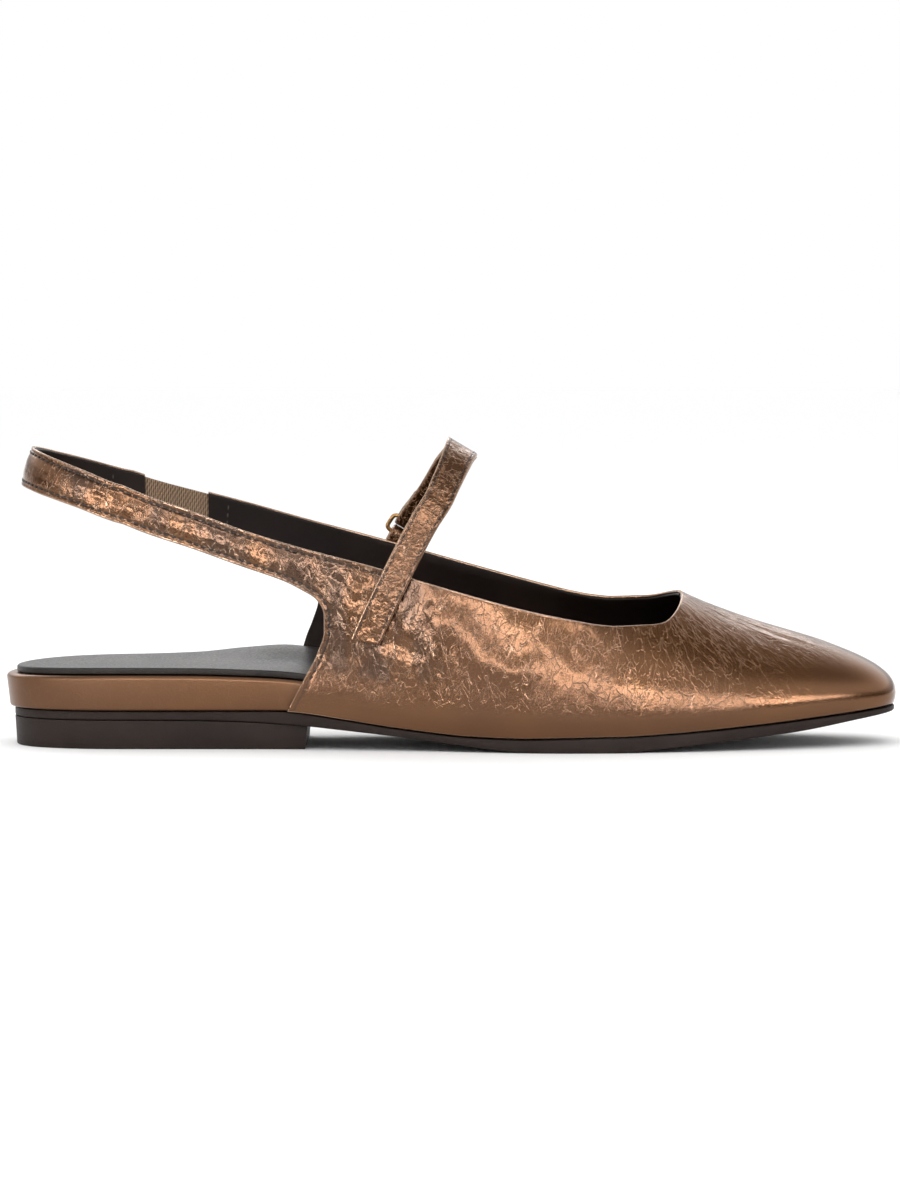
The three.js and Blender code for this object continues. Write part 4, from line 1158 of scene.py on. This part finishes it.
def stitch_strap(name, top, outward, low_gap, high_gap):
    """Stitches along both edges of a strap and across both of its ends."""
    finish = (STRAP_STITCH_PITCH, 0.1, STRAP_STITCH_WIDTH)
    bm = bmesh.new()
    for gaps in (low_gap, high_gap):
        path, normals = [], []
        for i in range(2, len(top) - 2):
            order = np.argsort(gaps[i])
            path.append(value_at(gaps[i][order], top[i, order], STRAP_STITCH_INSET))
            normals.append(value_at(gaps[i][order], outward[i, order], STRAP_STITCH_INSET))
        stitch_row(bm, np.array(path), np.array(normals), *finish)
    for i in (2, len(top) - 3):
        inside = np.minimum(low_gap, high_gap)[i] > STRAP_STITCH_INSET
        stitch_row(bm, top[i, inside], outward[i, inside], *finish)
    finish_stitching(bm, name)


def make_strap(name, node, start, end, heading, count, width):
    face, outward = strap_faces(start, end, heading, count, width)
    outward = unit(outward)
    top = face + outward * STRAP_THICKNESS / 2
    low_gap, high_gap = edge_distances(top)
    gap = np.minimum(low_gap, high_gap)
    height = strap_relief(top, gap) if node == "instep_strap" else np.zeros(gap.shape)
    wrapped, skin = wrap_band(top, outward, 0.0, STRAP_TOP_LAYER, height * smooth(gap / 0.8), 9, 4)
    look = np.zeros(wrapped.shape[:2] + (2,))
    look[..., 0] = 0.5
    look[:, :STRAP_COLUMNS, 0] = 0.95
    # Edge distance plus 0.6 mm: the strap's edges get no painted highlight, and the painted groove shade lies
    # about 1 mm in from them.
    look[:, :STRAP_COLUMNS, 1] = gap + 0.6
    dress(grid_mesh(name, wrapped, skin, look), STRAP_LEATHER, "upper_leather", node)
    thickness = STRAP_THICKNESS - STRAP_TOP_LAYER
    wrapped, skin = wrap_band(top, outward, STRAP_TOP_LAYER, thickness, None, 9, 3, 0.12)
    look = np.full(wrapped.shape[:2] + (2,), FAR)
    look[..., 0] = 0.6
    dress(grid_mesh(name + "_back", wrapped, skin, look), STRAP_LEATHER, "upper_leather")
    stitch_strap(name + "_stitching", top, outward, low_gap, high_gap)


def make_ring():
    """A wire of round section, bent to a rounded rectangle."""
    centre, along, across, out = ring_frame()
    around, sides = 96, 16
    turn = np.linspace(0, 2 * math.pi, around + 1)[:, None]
    roll = np.linspace(0, 2 * math.pi, sides + 1)[None, :]
    half_across = (RING_WIDTH - RING_WIRE) / 2
    half_along = (RING_HEIGHT - RING_WIRE) / 2
    power = 2 / RING_POWER
    a = np.sign(np.cos(turn)) * np.abs(np.cos(turn)) ** power * half_across
    b = np.sign(np.sin(turn)) * np.abs(np.sin(turn)) ** power * half_along
    away_a = np.sign(a) * (np.abs(a) / half_across) ** (RING_POWER - 1) / half_across
    away_b = np.sign(b) * (np.abs(b) / half_along) ** (RING_POWER - 1) / half_along
    size = np.hypot(away_a, away_b)
    radius = RING_WIRE / 2
    ring_a = a + away_a / size * radius * np.cos(roll)
    ring_b = b + away_b / size * radius * np.cos(roll)
    lift = radius * np.sin(roll) + np.zeros_like(ring_a)
    points = centre + ring_a[..., None] * across + ring_b[..., None] * along + lift[..., None] * out
    dress(grid_mesh("ring", points, cap_ends=False), BRASS, "ring_metal", "buckle_ring")


# Flat pieces under the foot, each a loft of outlines
def outline(inset_at, extra, end_share):
    """Outline of a piece, once round: outer side from heel to front, then back along the inner side.

    Gives x and the distance from the middle line. end_share: place of the front as a share of LENGTH."""
    first = 0.012
    turn = math.pi / 2 * (1 - first - (1 - first) * np.linspace(0, 1, 26))
    inset = inset_at(0.0) + extra
    xs = [HEEL_CENTRE - (HEEL_REACH - inset) * np.sin(turn) ** (2 / HEEL_POWER)]
    halves = [(half_width(HEEL_CENTRE) - inset) * np.cos(turn) ** (2 / HEEL_POWER)]
    last = min(end_share * LENGTH, TOE_CENTRE)
    if end_share < 1:
        last -= extra
    x = HEEL_CENTRE + (last - HEEL_CENTRE) * np.linspace(0, 1, 61)[1:]
    xs.append(x)
    halves.append(half_width(x) - inset_at(x) - extra)
    if end_share >= 1:
        turn = math.pi / 2 * (1 - first / 2) * even_turn(np.linspace(0, 1, 71)[1:])
        x = TOE_CENTRE + (TOE_REACH - inset_at(LENGTH) - extra) * np.sin(turn) ** (2 / TOE_POWER)
        xs.append(x)
        halves.append((half_width(x) - inset_at(x) - extra) * np.cos(turn) ** (2 / TOE_POWER))
    x = np.concatenate(xs)
    half = np.concatenate(halves)
    return np.concatenate([x, x[::-1]]), np.concatenate([-half, half[::-1]])


def loft(name, inset_at, levels, end_share, mapped=False):
    """A closed piece from levels of (extra inset, share of the half width, height at x and y, lift)."""
    rows = []
    for extra, share, height_at, lift in levels:
        x, offset = outline(inset_at, extra, end_share)
        y = middle(x) + offset * share
        rows.append(np.stack([x, y, height_at(x, y) + lift + np.zeros_like(x)], -1))
    points = np.stack(rows, 1)
    points = np.concatenate([points, points[:1]], 0)
    if not mapped:
        return grid_mesh(name, points)
    v = length_along(points, 1)
    u = length_along(points[:, len(levels) // 2])[:, None] + np.zeros_like(v)
    look = np.full(points.shape[:2] + (2,), FAR)
    look[..., 0] = 0.08
    return grid_mesh(name, points, np.stack([u * MM, v * MM], -1), look)


def rounded_levels(low_at, top_at, low_radius, top_radius, draft=0.0, flat_shares=(0.85, 0.5, 0.0)):
    """Levels of a plate with both edges rounded: inwards under it, up its side and over its top."""
    levels = [(low_radius + draft, share, low_at, 0.0) for share in flat_shares[::-1]]
    for a in np.linspace(0, math.pi / 2, 5):
        levels.append((draft + low_radius * (1 - math.sin(a)), 1.0, low_at, low_radius * (1 - math.cos(a))))
    for a in np.linspace(0, math.pi / 2, 6):
        levels.append((top_radius * (1 - math.cos(a)), 1.0, top_at, -top_radius * (1 - math.sin(a))))
    return levels + [(top_radius, share, top_at, 0.0) for share in flat_shares]


def bed(x, y):
    """Height of the foot bed: the platform with its raised arch on the inner side."""
    across = (y - middle(x)) / half_width(x)
    swell = smooth((across - 0.1) / 0.75)
    return feather(x) + PLATFORM * wedge_share(x / LENGTH) + ARCH_PAD * pad_share(x / LENGTH) * swell


def tuck_at(x):
    return TUCK * last_tuck(np.asarray(x) / LENGTH)


def platform_inset(x):
    return HEEL_OVERHANG + tuck_at(x)


def sock_inset(x):
    return platform_inset(x) + SOCK_MARGIN * np.where(np.asarray(x) < BREAST_AT, 1, 0.5)


def block_inset(x):
    return HEEL_OVERHANG + HEEL_MARGIN + 0 * np.asarray(x)


def sole_inset(x):
    t = smooth((np.asarray(x) - BREAST_AT * 0.78) / (BREAST_AT * 0.4))
    heel = HEEL_OVERHANG + HEEL_MARGIN
    return heel + (tuck_at(x) - GAP - heel) * t


def make_sole():
    levels = rounded_levels(lambda x, y: under(x), lambda x, y: feather(x) - GAP, 0.5, 0.35)
    dress(loft("outsole_rubber", sole_inset, levels, 1), SOLE_RUBBER, "sole", "outsole")
    levels = rounded_levels(lambda x, y: 0 * x, lambda x, y: under(x) - GAP / 2, 0.35, 0.2, HEEL_DRAFT)
    block = loft("heel_block_rubber", block_inset, levels, BREAST_AT / LENGTH)
    dress(block, SOLE_RUBBER, "sole", "heel_block")


def make_platform():
    levels = rounded_levels(lambda x, y: feather(x), lambda x, y: bed(x, y) - GAP, 0.8, 1.1, PLATFORM_DRAFT)
    platform = loft("heel_wrap_leather", platform_inset, levels, PLATFORM_END, True)
    dress(platform, SMOOTH_LEATHER, "upper_leather", "heel_wrap")


def make_sock():
    shares = (0.92, 0.8, 0.62, 0.42, 0.2, 0.0)
    levels = rounded_levels(bed, lambda x, y: bed(x, y) + SOCK, 0.3, 0.6, 0.0, shares)
    dress(loft("sock", sock_inset, levels, 1), SOCK_SKIN, "lining", "insole")


# Camera, floor and light
def set_camera():
    scene = bpy.context.scene
    camera_data = bpy.data.cameras.new("camera")
    camera = bpy.data.objects.new("camera", camera_data)
    scene.collection.objects.link(camera)
    distance, height, aside = 1500.0, 130.0, -0.4
    focal_pixels, frame_height = 5094.0, 1200.0
    below_centre = 142.0
    pitch = math.atan(height / distance) - math.atan(below_centre / focal_pixels)
    camera_data.sensor_fit = "VERTICAL"
    camera_data.sensor_height = 36.0
    camera_data.lens = focal_pixels / frame_height * camera_data.sensor_height
    camera_data.clip_start = 0.05
    camera_data.clip_end = 50
    camera.location = Vector((aside, -distance, height)) * MM
    camera.rotation_euler = (math.pi / 2 - pitch, 0, 0)
    scene.camera = camera


def lay_floor():
    bm = bmesh.new()
    bmesh.ops.create_grid(bm, x_segments=1, y_segments=1, size=6.0)
    floor = finish_mesh(bm, "floor")
    material, tree = new_material("floor_paint")
    shader = add(tree, "ShaderNodeBsdfPrincipled", {"Base Color": FLOOR_WHITE, "Roughness": 0.9})
    add(tree, "ShaderNodeOutputMaterial", {0: shader.outputs[0]})
    floor.data.materials.append(material)


def light_world():
    """White for the camera, even light on dull surfaces, and for gloss a dim studio with a band of light."""
    world = bpy.data.worlds.new("studio")
    bpy.context.scene.world = world
    tree = make_tree(world)
    place = add(tree, "ShaderNodeTexCoord").outputs["Generated"]
    parts = add(tree, "ShaderNodeSeparateXYZ", {0: place})
    back, up = parts.outputs[1], parts.outputs[2]
    horizon = ramp(tree, up, 0.01, 0.09, 1.1, 0.12)
    overhead = plus(tree, ramp(tree, up, 0.22, 0.34, 0.0, 1.15), ramp(tree, up, 0.5, 0.8, 0.0, -0.9))
    overhead = plus(tree, overhead, ramp(tree, back, 0.0, 0.7, 0.0, 0.5))
    band = times(tree, ramp(tree, up, 0.17, 0.2), ramp(tree, up, 0.225, 0.27, 1.0, 0.0))
    band = times(tree, band, ramp(tree, back, -0.75, -0.3, 20.0, 0.3))
    studio = plus(tree, plus(tree, horizon, overhead), band)
    rays = add(tree, "ShaderNodeLightPath")
    shade = add(tree, "ShaderNodeMix", {0: rays.outputs["Is Glossy Ray"], 2: 1.06, 3: studio}).outputs[0]
    strength = add(tree, "ShaderNodeMix", {0: rays.outputs["Is Camera Ray"], 2: shade, 3: 1.0}).outputs[0]
    backdrop = add(tree, "ShaderNodeBackground", {"Color": (1, 1, 1, 1), "Strength": strength})
    add(tree, "ShaderNodeOutputWorld", {0: backdrop.outputs[0]})
    bpy.context.scene.view_settings.view_transform = "Standard"


# Name, place, aim, width, depth and power of each softbox, in metres and watts
SOFTBOXES = (
    ("front_softbox", (0.05, -1.25, 0.95), (0.0, 0.0, 0.03), 1.0, 0.2, 4.0),
    ("top_softbox", (-0.1, -0.25, 1.5), (0.0, 0.0, 0.03), 1.2, 0.14, 2.6),
    ("back_softbox", (-0.3, 1.1, 0.75), (0.0, 0.0, 0.04), 1.6, 0.3, 4.5),
)


def hang_softboxes():
    for name, spot, aim, width, depth, power in SOFTBOXES:
        data = bpy.data.lights.new(name, "AREA")
        data.shape = "RECTANGLE"
        data.size = width
        data.size_y = depth
        data.energy = power
        lamp = bpy.data.objects.new(name, data)
        lamp.location = spot
        lamp.rotation_euler = (Vector(aim) - Vector(spot)).to_track_quat("-Z", "Y").to_euler()
        bpy.context.scene.collection.objects.link(lamp)


set_camera()
lay_floor()
light_world()
hang_softboxes()
make_sole()
make_platform()
make_sock()
make_upper()
make_gore()
make_strap("instep_strap_leather", "instep_strap", STRAP_START, STRAP_RETURN_END, -1, 150, STRAP_WIDTH)
make_strap("buckle_tab_leather", "buckle_tab", TAB_END, TAB_RETURN_END, 1, 24, TAB_WIDTH)
make_ring()
